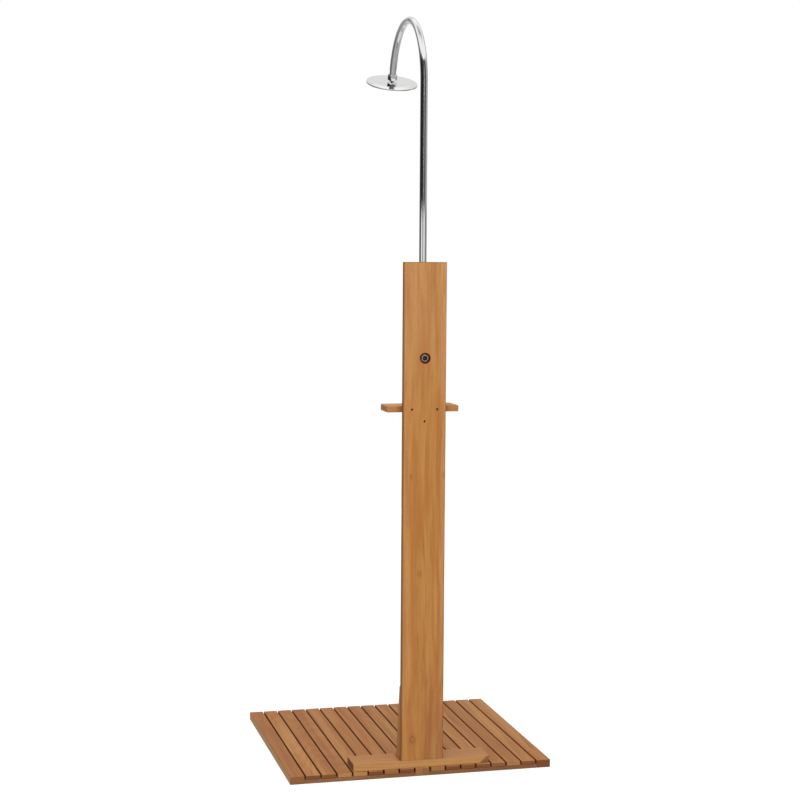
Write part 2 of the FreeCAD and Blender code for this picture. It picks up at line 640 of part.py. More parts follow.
def union_nut():
    """Hexagon nut that pulls the riser's collar down on the seal."""
    axis_foot = Vector(0, RISER_Y, INLET_Z)
    start = BOSS_TOP - UNION_SKIRT
    end = COLLAR_TOP + UNION_LIP
    bevel = UNION_AF / math.sqrt(3) - UNION_AF / 2
    corner = UNION_AF / math.sqrt(3)
    body = hexagon(UNION_AF, start, end, axis_foot, Z_AXIS)
    body = body.common(turned([(0, start), (corner - bevel, start), (corner, start + bevel),
                               (corner, end - bevel), (corner - bevel, end), (0, end)], axis_foot, Z_AXIS))
    thread = BOSS_R + UNION_FIT
    bore = turned([(0, start - PAST), (thread, start - PAST), (thread, COLLAR_TOP),
                   (PIPE_R + UNION_FIT, COLLAR_TOP), (PIPE_R + UNION_FIT, end + PAST), (0, end + PAST)],
                  axis_foot, Z_AXIS)
    return body.cut(bore)


def pipe_clip():
    """Saddle that holds the riser off the plank, with two ears for its screws."""
    low, high = CLIP_Z - CLIP_H / 2, CLIP_Z + CLIP_H / 2
    outer = PIPE_R + CLIP_WALL
    ears = eased(box(-CLIP_EAR, CLIP_EAR, POST_FRONT, POST_FRONT + PLATE_T, low, high), EASE / 2)
    block = box(-outer, outer, POST_FRONT, RISER_Y, low, high)
    saddle = rod(outer, Vector(0, RISER_Y, low), Vector(0, RISER_Y, high))
    hole = rod(PIPE_R + UNION_FIT, Vector(0, RISER_Y, low - PAST), Vector(0, RISER_Y, high + PAST))
    clip = ears.fuse([block, saddle]).removeSplitter()
    return cut(clip, [hole] + screw_holes(FITTING_SCREWS, PLATE_SCREW_L))


def riser():
    axis_foot = Vector(0, RISER_Y, INLET_Z)
    return {
        "shower_arm": shower_arm(),
        "union_nut": union_nut(),
        "union_seal": ring(BOSS_R - UNION_FIT, BOSS_R - SEAL_RING_W, BOSS_TOP, SEAL_TOP, axis_foot, Z_AXIS),
        "pipe_clip": pipe_clip(),
    }


# ---- ball joint and rose ----
def arm_tip():
    plug = PIPE_BORE - THREAD_FIT
    return turned([(TIP_BORE_R, -TIP_PLUG), (plug, -TIP_PLUG), (plug, 0), (TIP_R, 0), (TIP_R, TIP_END),
                   (TIP_BORE_R, TIP_END)], ARM_END, ARM_AXIS)


def ball_centre():
    return ARM_END + ARM_AXIS * BALL_AT


def ball_nut():
    """Hexagon nut: threaded on the tip above, closed round the ball below, with a flared mouth."""
    socket_r = BALL_R + BALL_FIT
    mouth_at = BALL_AT + math.sqrt(socket_r ** 2 - MOUTH_R ** 2)
    body = turned([(0, BALLNUT_START), (BALLNUT_R - BALLNUT_TOP_BEVEL, BALLNUT_START),
                   (BALLNUT_R, BALLNUT_START + BALLNUT_TOP_BEVEL), (BALLNUT_R, BALLNUT_END - BALLNUT_BEVEL),
                   (BALLNUT_R - BALLNUT_BEVEL, BALLNUT_END), (0, BALLNUT_END)], ARM_END, ARM_AXIS)
    body = body.common(hexagon(BALLNUT_AF, BALLNUT_START - PAST, BALLNUT_END + PAST, ARM_END, ARM_AXIS))
    thread = TIP_R + THREAD_FIT
    seat = SEAT_R + BALL_FIT
    step = TIP_END + BALLNUT_STEP
    bore = turned([(0, BALLNUT_START - PAST), (thread, BALLNUT_START - PAST), (thread, step),
                   (seat, step), (seat, BALL_AT), (MOUTH_R, BALL_AT), (MOUTH_R, mouth_at),
                   (MOUTH_FLARE_R, BALLNUT_END), (MOUTH_FLARE_R, BALLNUT_END + PAST),
                   (0, BALLNUT_END + PAST)], ARM_END, ARM_AXIS)
    return cut(body, [bore, Part.makeSphere(socket_r, ball_centre())])


def ball_seat_ring():
    """Slip ring between the arm tip and the ball, hollowed to the ball."""
    blank = ring(SEAT_R, SEAT_BORE_R, TIP_END, SEAT_END, ARM_END, ARM_AXIS)
    return blank.cut(Part.makeSphere(BALL_R + BALL_FIT, ball_centre()))


def rose_ball():
    """Ball, stem and the threaded foot that screws into the rose."""
    stem_end = ROSE_TOP + ROSE_BOSS_H
    stem = turned([(0, BALL_AT), (STEM_R, BALL_AT), (STEM_R, ROSE_TOP), (STEM_THREAD_R, ROSE_TOP),
                   (STEM_THREAD_R, stem_end), (0, stem_end)], ARM_END, ARM_AXIS)
    bore = rod(STEM_BORE_R, ball_centre() - ARM_AXIS * (BALL_R + PAST),
               ARM_END + ARM_AXIS * (stem_end + PAST))
    return Part.makeSphere(BALL_R, ball_centre()).fuse(stem).cut(bore)


def rose_screw_places():
    """Foot of each rose screw on the face, which is square to the arm's last direction."""
    across = ARM_AXIS.cross(X_AXIS)
    places = []
    for k in range(ROSE_SCREWS):
        angle = 2 * math.pi * k / ROSE_SCREWS + math.pi / 2
        aside = X_AXIS * math.cos(angle) + across * math.sin(angle)
        places.append(ARM_END + ARM_AXIS * ROSE_END + aside * ROSE_SCREW_AT)
    return places


def rose_body():
    """Thin shell with a low conical top, a threaded hub for the ball's stem and bosses for the screws."""
    inner_rim = ROSE_R - ROSE_WALL
    ledge = inner_rim - ROSE_SEAL_W - ROSE_WALL
    under = ROSE_WALL
    crown = ROSE_TOP + ROSE_CROWN_DROP
    shell = turned([(STEM_THREAD_R + THREAD_FIT, ROSE_TOP), (ROSE_HUB_R, ROSE_TOP),
                    (ROSE_CROWN_R, crown), (ROSE_CROWN_R + ROSE_STEP_W, crown + ROSE_STEP_H),
                    (ROSE_R - ROSE_RIM_BEVEL, ROSE_RIM), (ROSE_R, ROSE_RIM + ROSE_RIM_BEVEL),
                    (ROSE_R, ROSE_END), (inner_rim, ROSE_END), (inner_rim, ROSE_LEDGE), (ledge, ROSE_LEDGE),
                    (ROSE_HUB_R, ROSE_TOP + under),
                    (ROSE_BOSS_R, ROSE_TOP + under), (ROSE_BOSS_R, ROSE_TOP + ROSE_BOSS_H),
                    (STEM_THREAD_R + THREAD_FIT, ROSE_TOP + ROSE_BOSS_H)], ARM_END, ARM_AXIS)
    slope = ROSE_DROP / (ROSE_R - ROSE_HUB_R)
    top_here = ROSE_TOP + slope * (ROSE_SCREW_AT - ROSE_HUB_R) + ROSE_WALL / 2
    bosses, holes = [], []
    for foot in rose_screw_places():
        bosses.append(rod(ROSE_SCREW_BOSS_R, foot - ARM_AXIS * FACE_T,
                          foot - ARM_AXIS * (ROSE_END - top_here)))
        holes.append(rod(ROSE_SCREW_R + THREAD_FIT, foot + ARM_AXIS * PAST, foot - ARM_AXIS * ROSE_SCREW_L))
    return cut(shell.fuse(bosses), holes)


def rose_screws():
    solids = []
    for foot in rose_screw_places():
        solids.append(turned([(0, 0), (ROSE_SCREW_HEAD_R, 0), (ROSE_SCREW_HEAD_R, ROSE_SCREW_HEAD_H),
                              (ROSE_SCREW_R, ROSE_SCREW_HEAD_H), (ROSE_SCREW_R, ROSE_SCREW_L),
                              (0, ROSE_SCREW_L)], foot, -ARM_AXIS))
    return group(solids)


def rose_face():
    """Round plate that closes the shell from below."""
    plate = turned([(0, FACE_START), (ROSE_R - ROSE_WALL - FACE_FIT, FACE_START),
                    (ROSE_R - ROSE_WALL - FACE_FIT, ROSE_END), (0, ROSE_END)], ARM_END, ARM_AXIS)
    holes = []
    for foot in rose_screw_places():
        holes.append(rod(ROSE_SCREW_HEAD_R + FACE_FIT, foot + ARM_AXIS * PAST,
                         foot - ARM_AXIS * ROSE_SCREW_HEAD_H))
        holes.append(rod(ROSE_SCREW_R + FACE_FIT, foot, foot - ARM_AXIS * (FACE_T + PAST)))
    return cut(plate, holes)


def rose():
    rim = ROSE_R - ROSE_WALL - FACE_FIT
    return {
        "arm_tip": arm_tip(),
        "ball_nut": ball_nut(),
        "ball_seat_ring": ball_seat_ring(),
        "rose_ball": rose_ball(),
        "rose_body": rose_body(),
        "rose_face": rose_face(),
        "rose_seal": ring(rim, rim - ROSE_SEAL_W, ROSE_LEDGE, FACE_START, ARM_END, ARM_AXIS),
        "rose_screws": rose_screws(),
    }


# ---- write every piece ----
os.makedirs("parts", exist_ok=True)
for pieces in (deck(), post(), valve(), riser(), rose()):
    for name, shape in pieces.items():
        shape.exportStep("parts/%s.step" % name)
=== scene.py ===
import json
import math

import bmesh
import bpy
from mathutils import Matrix, Vector

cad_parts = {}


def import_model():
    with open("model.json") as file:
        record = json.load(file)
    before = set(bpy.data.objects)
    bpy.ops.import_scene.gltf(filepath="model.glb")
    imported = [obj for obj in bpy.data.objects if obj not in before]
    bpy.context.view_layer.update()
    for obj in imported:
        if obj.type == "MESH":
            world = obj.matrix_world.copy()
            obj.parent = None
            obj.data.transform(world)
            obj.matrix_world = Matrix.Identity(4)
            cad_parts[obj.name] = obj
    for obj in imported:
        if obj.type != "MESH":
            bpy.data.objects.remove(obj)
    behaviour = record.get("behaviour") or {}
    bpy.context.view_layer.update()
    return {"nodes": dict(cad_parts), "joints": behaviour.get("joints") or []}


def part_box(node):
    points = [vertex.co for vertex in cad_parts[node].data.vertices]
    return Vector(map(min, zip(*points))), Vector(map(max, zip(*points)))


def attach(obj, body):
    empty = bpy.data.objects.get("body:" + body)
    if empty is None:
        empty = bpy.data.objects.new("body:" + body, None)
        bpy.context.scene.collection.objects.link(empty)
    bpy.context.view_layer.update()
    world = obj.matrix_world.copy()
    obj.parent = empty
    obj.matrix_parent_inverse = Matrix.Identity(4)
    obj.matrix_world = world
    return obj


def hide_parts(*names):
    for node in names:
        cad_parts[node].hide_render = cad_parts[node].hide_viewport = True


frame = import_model()
node_objects = frame["nodes"]
MM = 0.001
Y_AXIS, Z_AXIS = Vector((0, 1, 0)), Vector((0, 0, 1))


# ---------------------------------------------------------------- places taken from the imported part
def middle(node):
    low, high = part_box(node)
    return (low + high) / 2


def joint(name):
    return next(j for j in frame["joints"] if j["name"] == name)


DECK_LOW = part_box("deck_side_rail_left")[0]
SLAT_LOW, SLAT_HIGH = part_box("deck_slat_01")
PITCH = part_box("deck_slat_02")[0].x - SLAT_LOW.x
POST_LOW, POST_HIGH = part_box("post_plank")
BALL = Vector(joint("rose_tilt")["pos_m"])
ARM_AXIS = Vector(joint("rose_swivel")["axis"]).normalized()
VALVE = Vector(joint("lever_turn")["pos_m"])


# ---------------------------------------------------------------- small helpers for node trees
def linear(hex_code):
    """A colour written as on screen, made linear."""
    parts = [int(hex_code[k:k + 2], 16) / 255 for k in (0, 2, 4)]
    return tuple(c / 12.92 if c <= 0.04045 else ((c + 0.055) / 1.055) ** 2.4 for c in parts) + (1.0,)


def add_node(tree, kind, inputs=None, **settings):
    """A node whose inputs are numbers, colours or other nodes' sockets."""
    node = tree.nodes.new(kind)
    for name, value in settings.items():
        setattr(node, name, value)
    for key, value in (inputs or {}).items():
        if isinstance(value, bpy.types.NodeSocket):
            tree.links.new(value, node.inputs[key])
        else:
            node.inputs[key].default_value = value
    return node


def maths(tree, operation, a, b=0.0, c=0.0, clamp=False):
    node = add_node(tree, "ShaderNodeMath", {0: a, 1: b, 2: c}, operation=operation, use_clamp=clamp)
    return node.outputs[0]


def vector_maths(tree, operation, a, b=(0, 0, 0)):
    node = add_node(tree, "ShaderNodeVectorMath", {0: a, 1: b}, operation=operation)
    return node.outputs["Value" if operation in ("DOT_PRODUCT", "LENGTH") else "Vector"]


def split(tree, vector):
    """The x, y and z of a vector."""
    return add_node(tree, "ShaderNodeSeparateXYZ", {0: vector}).outputs


def ramp(tree, value, low, high, out_low=0.0, out_high=1.0):
    """A smooth step from one value to another."""
    node = add_node(tree, "ShaderNodeMapRange",
                    {"Value": value, "From Min": low, "From Max": high, "To Min": out_low,
                     "To Max": out_high}, interpolation_type="SMOOTHSTEP")
    return node.outputs["Result"]


def blend(tree, amount, a, b, mode="MIX"):
    node = add_node(tree, "ShaderNodeMix", data_type="RGBA", blend_type=mode, clamp_factor=True)
    for socket, value in ((node.inputs["Factor"], amount), (node.inputs[6], a), (node.inputs[7], b)):
        if isinstance(value, bpy.types.NodeSocket):
            tree.links.new(value, socket)
        else:
            socket.default_value = value
    return node.outputs[2]


def noise(tree, vector, stretch, detail=2.0, rough=0.5, seed=0.0):
    """Noise on a stretched vector; stretch is cycles per metre along each axis."""
    scaled = vector_maths(tree, "MULTIPLY", vector, stretch)
    shifted = vector_maths(tree, "ADD", scaled, (seed, seed * 1.7, seed * 2.3))
    node = add_node(tree, "ShaderNodeTexNoise",
                    {"Vector": shifted, "Scale": 1.0, "Detail": detail, "Roughness": rough})
    return node.outputs["Fac"]


def new_group(name, inputs, outputs, tree_type="ShaderNodeTree"):
    """An empty node group with named sockets; each socket is (name, type, default)."""
    tree = bpy.data.node_groups.new(name, tree_type)
    for label, kind, default in inputs:
        socket = tree.interface.new_socket(label, in_out="INPUT", socket_type=kind)
        if default is not None:
            socket.default_value = default
    for label, kind in outputs:
        tree.interface.new_socket(label, in_out="OUTPUT", socket_type=kind)
    return tree, tree.nodes.new("NodeGroupInput").outputs, tree.nodes.new("NodeGroupOutput").inputs


def use_group(tree, group, **inputs):
    node = tree.nodes.new("ShaderNodeGroup")
    node.node_tree = group
    for label, value in inputs.items():
        socket = node.inputs[label.replace("_", " ")]
        if isinstance(value, bpy.types.NodeSocket):
            tree.links.new(value, socket)
        else:
            socket.default_value = value
    return node.outputs


# ---------------------------------------------------------------- shared effects
# Lengths in metres and stretches in cycles per metre, all tuned.
def timber_group():
    """Planed hardwood, grain along Z: growth rings round a wandering heart, streaks, pores, end grain."""
    tree, given, out = new_group(
        "timber",
        [("Position", "NodeSocketVector", None), ("Facing", "NodeSocketVector", None),
         ("Heart", "NodeSocketVector", None), ("Board", "NodeSocketFloat", 0.0),
         ("Ring Width", "NodeSocketFloat", 0.005), ("Pale", "NodeSocketColor", None),
         ("Mid", "NodeSocketColor", None), ("Dark", "NodeSocketColor", None),
         ("End", "NodeSocketColor", None), ("Rings", "NodeSocketFloat", 0.6),
         ("Streaks", "NodeSocketFloat", 0.4)],
        [("Color", "NodeSocketColor"), ("Roughness", "NodeSocketFloat"), ("Normal", "NodeSocketVector")])
    offset = add_node(tree, "ShaderNodeCombineXYZ",
                      {0: maths(tree, "MULTIPLY", given["Board"], 3.71),
                       1: maths(tree, "MULTIPLY", given["Board"], 5.37),
                       2: maths(tree, "MULTIPLY", given["Board"], 1.93)}).outputs[0]
    place = vector_maths(tree, "ADD", given["Position"], offset)
    wander_a = maths(tree, "SUBTRACT", noise(tree, place, (1.5, 1.5, 1.3), 1.0), 0.5)
    wander_b = maths(tree, "SUBTRACT", noise(tree, place, (2.0, 2.0, 1.0), 1.0, 0.5, 9.0), 0.5)
    ripple = maths(tree, "SUBTRACT", noise(tree, place, (34, 34, 5), 2.0, 0.5, 4.0), 0.5)
    shift = add_node(tree, "ShaderNodeCombineXYZ",
                     {0: maths(tree, "MULTIPLY_ADD", ripple, 0.006, maths(tree, "MULTIPLY", wander_a, 0.060)),
                      1: maths(tree, "MULTIPLY", wander_b, 0.110)}).outputs[0]
    from_heart = vector_maths(tree, "SUBTRACT", given["Position"], given["Heart"])
    from_heart = vector_maths(tree, "ADD", from_heart, shift)
    reach = vector_maths(tree, "LENGTH", vector_maths(tree, "MULTIPLY", from_heart, (1, 1, 0)))
    turns = maths(tree, "ADD", maths(tree, "DIVIDE", reach, given["Ring Width"]),
                  maths(tree, "MULTIPLY", noise(tree, place, (25, 25, 0.5), 1.0, 0.5, 2.0), 2.2))
    season = maths(tree, "FRACT", turns)
    rings = maths(tree, "MULTIPLY", maths(tree, "POWER", season, 1.8), ramp(tree, season, 1.0, 0.78))
    swayed = vector_maths(tree, "ADD", place, shift)
    broad = noise(tree, swayed, (26, 26, 0.9), 2.0, 0.55)
    streak = noise(tree, swayed, (120, 120, 2.0), 3.0, 0.6, 3.1)
    fibre = noise(tree, swayed, (1100, 1100, 26), 2.0, 0.6, 7.7)
    pores = ramp(tree, noise(tree, swayed, (1900, 1900, 70), 1.0, 0.5, 11.0), 0.60, 0.72)
    tone = blend(tree, ramp(tree, broad, 0.32, 0.68), given["Mid"], given["Pale"])
    shade = maths(tree, "MULTIPLY_ADD", rings, given["Rings"],
                  maths(tree, "MULTIPLY", ramp(tree, streak, 0.46, 0.80), given["Streaks"]), clamp=True)
    tone = blend(tree, shade, tone, given["Dark"])
    tone = blend(tree, maths(tree, "MULTIPLY", pores, 0.34), tone, given["Dark"])
    light = maths(tree, "MULTIPLY_ADD", maths(tree, "SUBTRACT", fibre, 0.5), 0.20, 1.0)
    grey = add_node(tree, "ShaderNodeCombineColor", {0: light, 1: light, 2: light}).outputs[0]
    tone = blend(tree, 1.0, tone, grey, "MULTIPLY")
    along = maths(tree, "ABSOLUTE", split(tree, given["Facing"])[2])
    end = ramp(tree, along, 0.75, 0.97)
    end_tone = blend(tree, maths(tree, "MULTIPLY", rings, 0.5), given["End"], given["Dark"])
    tone = blend(tree, maths(tree, "MULTIPLY", end, 0.88), tone, end_tone)
    tree.links.new(tone, out["Color"])
    rough = maths(tree, "MULTIPLY_ADD", fibre, 0.22, 0.42)
    tree.links.new(maths(tree, "MULTIPLY_ADD", end, 0.18, rough), out["Roughness"])
    height = maths(tree, "MULTIPLY_ADD", rings, 0.35, fibre)
    height = maths(tree, "SUBTRACT", height, maths(tree, "MULTIPLY", pores, 0.8))
    bump = add_node(tree, "ShaderNodeBump", {"Strength": 0.35, "Distance": 0.0004, "Height": height})
    tree.links.new(bump.outputs[0], out["Normal"])
    return tree


def knot_group():
    """A small knot on a board whose grain runs along Z: a dark rim, and the grain pushed round it."""
    tree, given, out = new_group(
        "knot",
        [("Position", "NodeSocketVector", None), ("Centre", "NodeSocketVector", None),
         ("Radius", "NodeSocketFloat", 0.006)],
        [("Position", "NodeSocketVector"), ("Eye", "NodeSocketFloat"), ("Halo", "NodeSocketFloat")])
    away = vector_maths(tree, "SUBTRACT", given["Position"], given["Centre"])
    flat = vector_maths(tree, "MULTIPLY", away, (1, 0, 0.75))
    far = maths(tree, "DIVIDE", vector_maths(tree, "LENGTH", flat), given["Radius"])
    tall = vector_maths(tree, "MULTIPLY", away, (1, 0, 0.22))
    wide = maths(tree, "DIVIDE", vector_maths(tree, "LENGTH", tall), given["Radius"])
    pull = maths(tree, "DIVIDE", 1.0, maths(tree, "MULTIPLY_ADD", wide, wide, 1.0))
    side = split(tree, away)[0]
    shove = maths(tree, "MULTIPLY", side, maths(tree, "MULTIPLY", pull, -0.75))
    moved = vector_maths(tree, "ADD", given["Position"],
                         add_node(tree, "ShaderNodeCombineXYZ", {0: shove}).outputs[0])
    tree.links.new(moved, out["Position"])
    rim = maths(tree, "MULTIPLY", ramp(tree, far, 1.25, 0.85), ramp(tree, far, 0.25, 0.70))
    tree.links.new(rim, out["Eye"])
    tree.links.new(ramp(tree, far, 2.8, 0.9), out["Halo"])
    return tree


def polish_group():
    """Polished plating: faint drifting haze and fine wiping marks."""
    tree, given, out = new_group(
        "polish",
        [("Position", "NodeSocketVector", None), ("Base Roughness", "NodeSocketFloat", 0.05),
         ("Haze", "NodeSocketFloat", 0.04), ("Tint", "NodeSocketColor", None)],
        [("Color", "NodeSocketColor"), ("Roughness", "NodeSocketFloat"), ("Normal", "NodeSocketVector")])
    cloud = noise(tree, given["Position"], (14, 14, 14), 3.0, 0.55)
    marks = noise(tree, given["Position"], (2600, 2600, 300), 2.0, 0.6, 5.0)
    haze = maths(tree, "MULTIPLY", ramp(tree, cloud, 0.45, 0.75), given["Haze"])
    tree.links.new(maths(tree, "ADD", given["Base Roughness"], haze), out["Roughness"])
    dim = maths(tree, "MULTIPLY_ADD", ramp(tree, cloud, 0.4, 0.8), -0.05, 1.0)
    grey = add_node(tree, "ShaderNodeCombineColor", {0: dim, 1: dim, 2: dim}).outputs[0]
    tree.links.new(blend(tree, 1.0, given["Tint"], grey, "MULTIPLY"), out["Color"])
    bump = add_node(tree, "ShaderNodeBump", {"Strength": 0.03, "Distance": 0.00005, "Height": marks})
    tree.links.new(bump.outputs[0], out["Normal"])
    return tree


TIMBER, KNOT, POLISH = timber_group(), knot_group(), polish_group()


# ---------------------------------------------------------------- materials
def blank_material(name):
    """A new material with its node tree and its shader."""
    material = bpy.data.materials.new(name)
    material.use_nodes = True
    tree = material.node_tree
    return material, tree, tree.nodes["Principled BSDF"]


def wire(tree, shader, outputs, shine, color=None, roughness=None):
    """Joins an effect's outputs to the shader; a colour or roughness worked out from them takes its place."""
    shader.inputs["Specular IOR Level"].default_value = shine
    tree.links.new(color or outputs["Color"], shader.inputs["Base Color"])
    tree.links.new(roughness or outputs["Roughness"], shader.inputs["Roughness"])
    tree.links.new(outputs["Normal"], shader.inputs["Normal"])


def turned_coordinates(tree, turn):
    """Object position and normal, turned so that the grain runs along Z."""
    coordinates = tree.nodes.new("ShaderNodeTexCoord")
    place = add_node(tree, "ShaderNodeMapping", {"Vector": coordinates.outputs["Object"], "Rotation": turn})
    facing = add_node(tree, "ShaderNodeMapping", {"Vector": coordinates.outputs["Normal"], "Rotation": turn},
                      vector_type="VECTOR")
    return coordinates, place.outputs[0], facing.outputs[0]


ALONG_X = (0, -math.pi / 2, 0)
ALONG_Y = (math.pi / 2, 0, 0)
ALONG_Z = (0, 0, 0)


def random_by(tree, number, seed):
    """A value from 0 to 1 that is fixed for each number."""
    return add_node(tree, "ShaderNodeTexWhiteNoise", {"W": maths(tree, "ADD", number, seed)},
                    noise_dimensions="1D").outputs["Value"]


def deck_timber(name, underside, seed):
    """Boards side by side across X, each with its own tone; underside is the height where they end below."""
    material, tree, shader = blank_material(name)
    coordinates, place, facing = turned_coordinates(tree, ALONG_Y)
    across, _, up = split(tree, coordinates.outputs["Object"])
    steps = maths(tree, "DIVIDE", maths(tree, "SUBTRACT", across, DECK_LOW.x), PITCH)
    number = maths(tree, "FLOOR", steps)
    board = maths(tree, "MULTIPLY_ADD", maths(tree, "GREATER_THAN", across, 0.0), 0.37,
                  maths(tree, "ADD", number, seed))
    hue, hue_end = random_by(tree, board, 0.0), random_by(tree, board, 41.3)
    middle_x = maths(tree, "MULTIPLY_ADD", maths(tree, "ADD", number, 0.5), PITCH, DECK_LOW.x)
    off_middle = maths(tree, "SUBTRACT", random_by(tree, board, 7.1), 0.5)
    heart = add_node(tree, "ShaderNodeCombineXYZ",
                     {0: maths(tree, "MULTIPLY_ADD", off_middle, 0.10, middle_x),
                      1: maths(tree, "MULTIPLY_ADD", random_by(tree, board, 3.3), 0.07, 0.03)}).outputs[0]
    end_tone = blend(tree, maths(tree, "POWER", hue_end, 2.0), linear("75452a"), linear("c08d5a"))
    grain = use_group(tree, TIMBER, Position=place, Facing=facing, Heart=heart, Board=board,
                      Ring_Width=0.0035, Pale=blend(tree, hue, linear("b78551"), linear("a87346")),
                      Mid=blend(tree, hue, linear("a77141"), linear("99633a")), Dark=linear("744325"),
                      End=end_tone, Rings=0.30, Streaks=0.40)
    inside = maths(tree, "MULTIPLY", maths(tree, "FRACT", steps), PITCH)
    edge = maths(tree, "MINIMUM", inside, maths(tree, "SUBTRACT", SLAT_HIGH.x - SLAT_LOW.x, inside))
    # Painted shade: the top darkens within 1.8 mm of each board's long edges, beside the gaps.
    painted_edge_shade = maths(tree, "MULTIPLY", ramp(tree, edge, 0.0018, 0.0002), 0.35)
    end_face = maths(tree, "ABSOLUTE", split(tree, facing)[2])
    # Painted shadow: a dark line across the end faces just above the underside.
    painted_seam_shadow = ramp(tree, maths(tree, "SUBTRACT", up, underside), 0.0026, 0.0004)
    painted_seam_shadow = maths(tree, "MULTIPLY", painted_seam_shadow, maths(tree, "MULTIPLY", end_face, 0.65))
    painted_edge_shade = maths(tree, "MAXIMUM", painted_edge_shade, painted_seam_shadow)
    # The side faces take a flat tone: dark brown painted shade on the flanks inside the gaps, pale tan on the
    # two outer flanks.
    flank = ramp(tree, maths(tree, "ABSOLUTE", split(tree, facing)[0]), 0.7, 0.95)
    outer = maths(tree, "GREATER_THAN", maths(tree, "ABSOLUTE", across), -DECK_LOW.x - MM)
    flank_shade_tone = blend(tree, outer, linear("7c3000"), linear("c09763"))
    tone = blend(tree, maths(tree, "MULTIPLY", flank, 0.94), grain["Color"], flank_shade_tone)
    painted_edge_shade = maths(tree, "MULTIPLY", painted_edge_shade, maths(tree, "SUBTRACT", 1.0, flank))
    # The painted edge shade and painted shadow line darken the tone towards dark brown.
    wire(tree, shader, grain, shine=0.06, color=blend(tree, painted_edge_shade, tone, linear("4e2206")))
    return material


def plain_timber(name, turn, pale, mid, dark, end, board, heart=(0.02, 0.05, 0.0)):
    """One board, or a few cut from the same plank."""
    material, tree, shader = blank_material(name)
    _, place, facing = turned_coordinates(tree, turn)
    grain = use_group(tree, TIMBER, Position=place, Facing=facing, Heart=heart, Board=board,
                      Ring_Width=0.005, Pale=linear(pale), Mid=linear(mid), Dark=linear(dark),
                      End=linear(end), Rings=0.45, Streaks=0.40)
    wire(tree, shader, grain, shine=0.22)
    return material


def shelf_timber():
    """The shelf: one short board, with painted shade on its near face beside the plank."""
    material, tree, shader = blank_material("shelf_timber")
    coordinates, place, facing = turned_coordinates(tree, ALONG_X)
    grain = use_group(tree, TIMBER, Position=place, Facing=facing, Heart=(-1.10, -0.24, 0.0), Board=9.0,
                      Ring_Width=0.005, Pale=linear("bb844f"), Mid=linear("ae763f"), Dark=linear("8a5528"),
                      End=linear("a87a4e"), Rings=0.30, Streaks=0.40)
    aside = maths(tree, "ABSOLUTE", split(tree, coordinates.outputs["Object"])[0])
    beside = maths(tree, "SUBTRACT", aside, POST_HIGH.x)
    back = ramp(tree, vector_maths(tree, "DOT_PRODUCT", coordinates.outputs["Normal"], (0, -1, 0)), 0.5, 0.9)
    # Painted shade: the near face darkens within 22 mm of the plank's sides.
    painted_contact_shade = maths(tree, "MULTIPLY", maths(tree, "MULTIPLY", ramp(tree, beside, 0.022, 0.003), back), 0.56)
    wire(tree, shader, grain, shine=0.20, color=blend(tree, painted_contact_shade, grain["Color"], linear("7c3c10")))
    return material


# Across the plank, height, radius.
KNOTS = ((-0.030, 0.111, 0.0085), (-0.013, 0.608, 0.0060), (-0.039, 0.898, 0.0040),
         (0.059, 0.901, 0.0045))
INLET_HOLE_R = 16.8 * MM


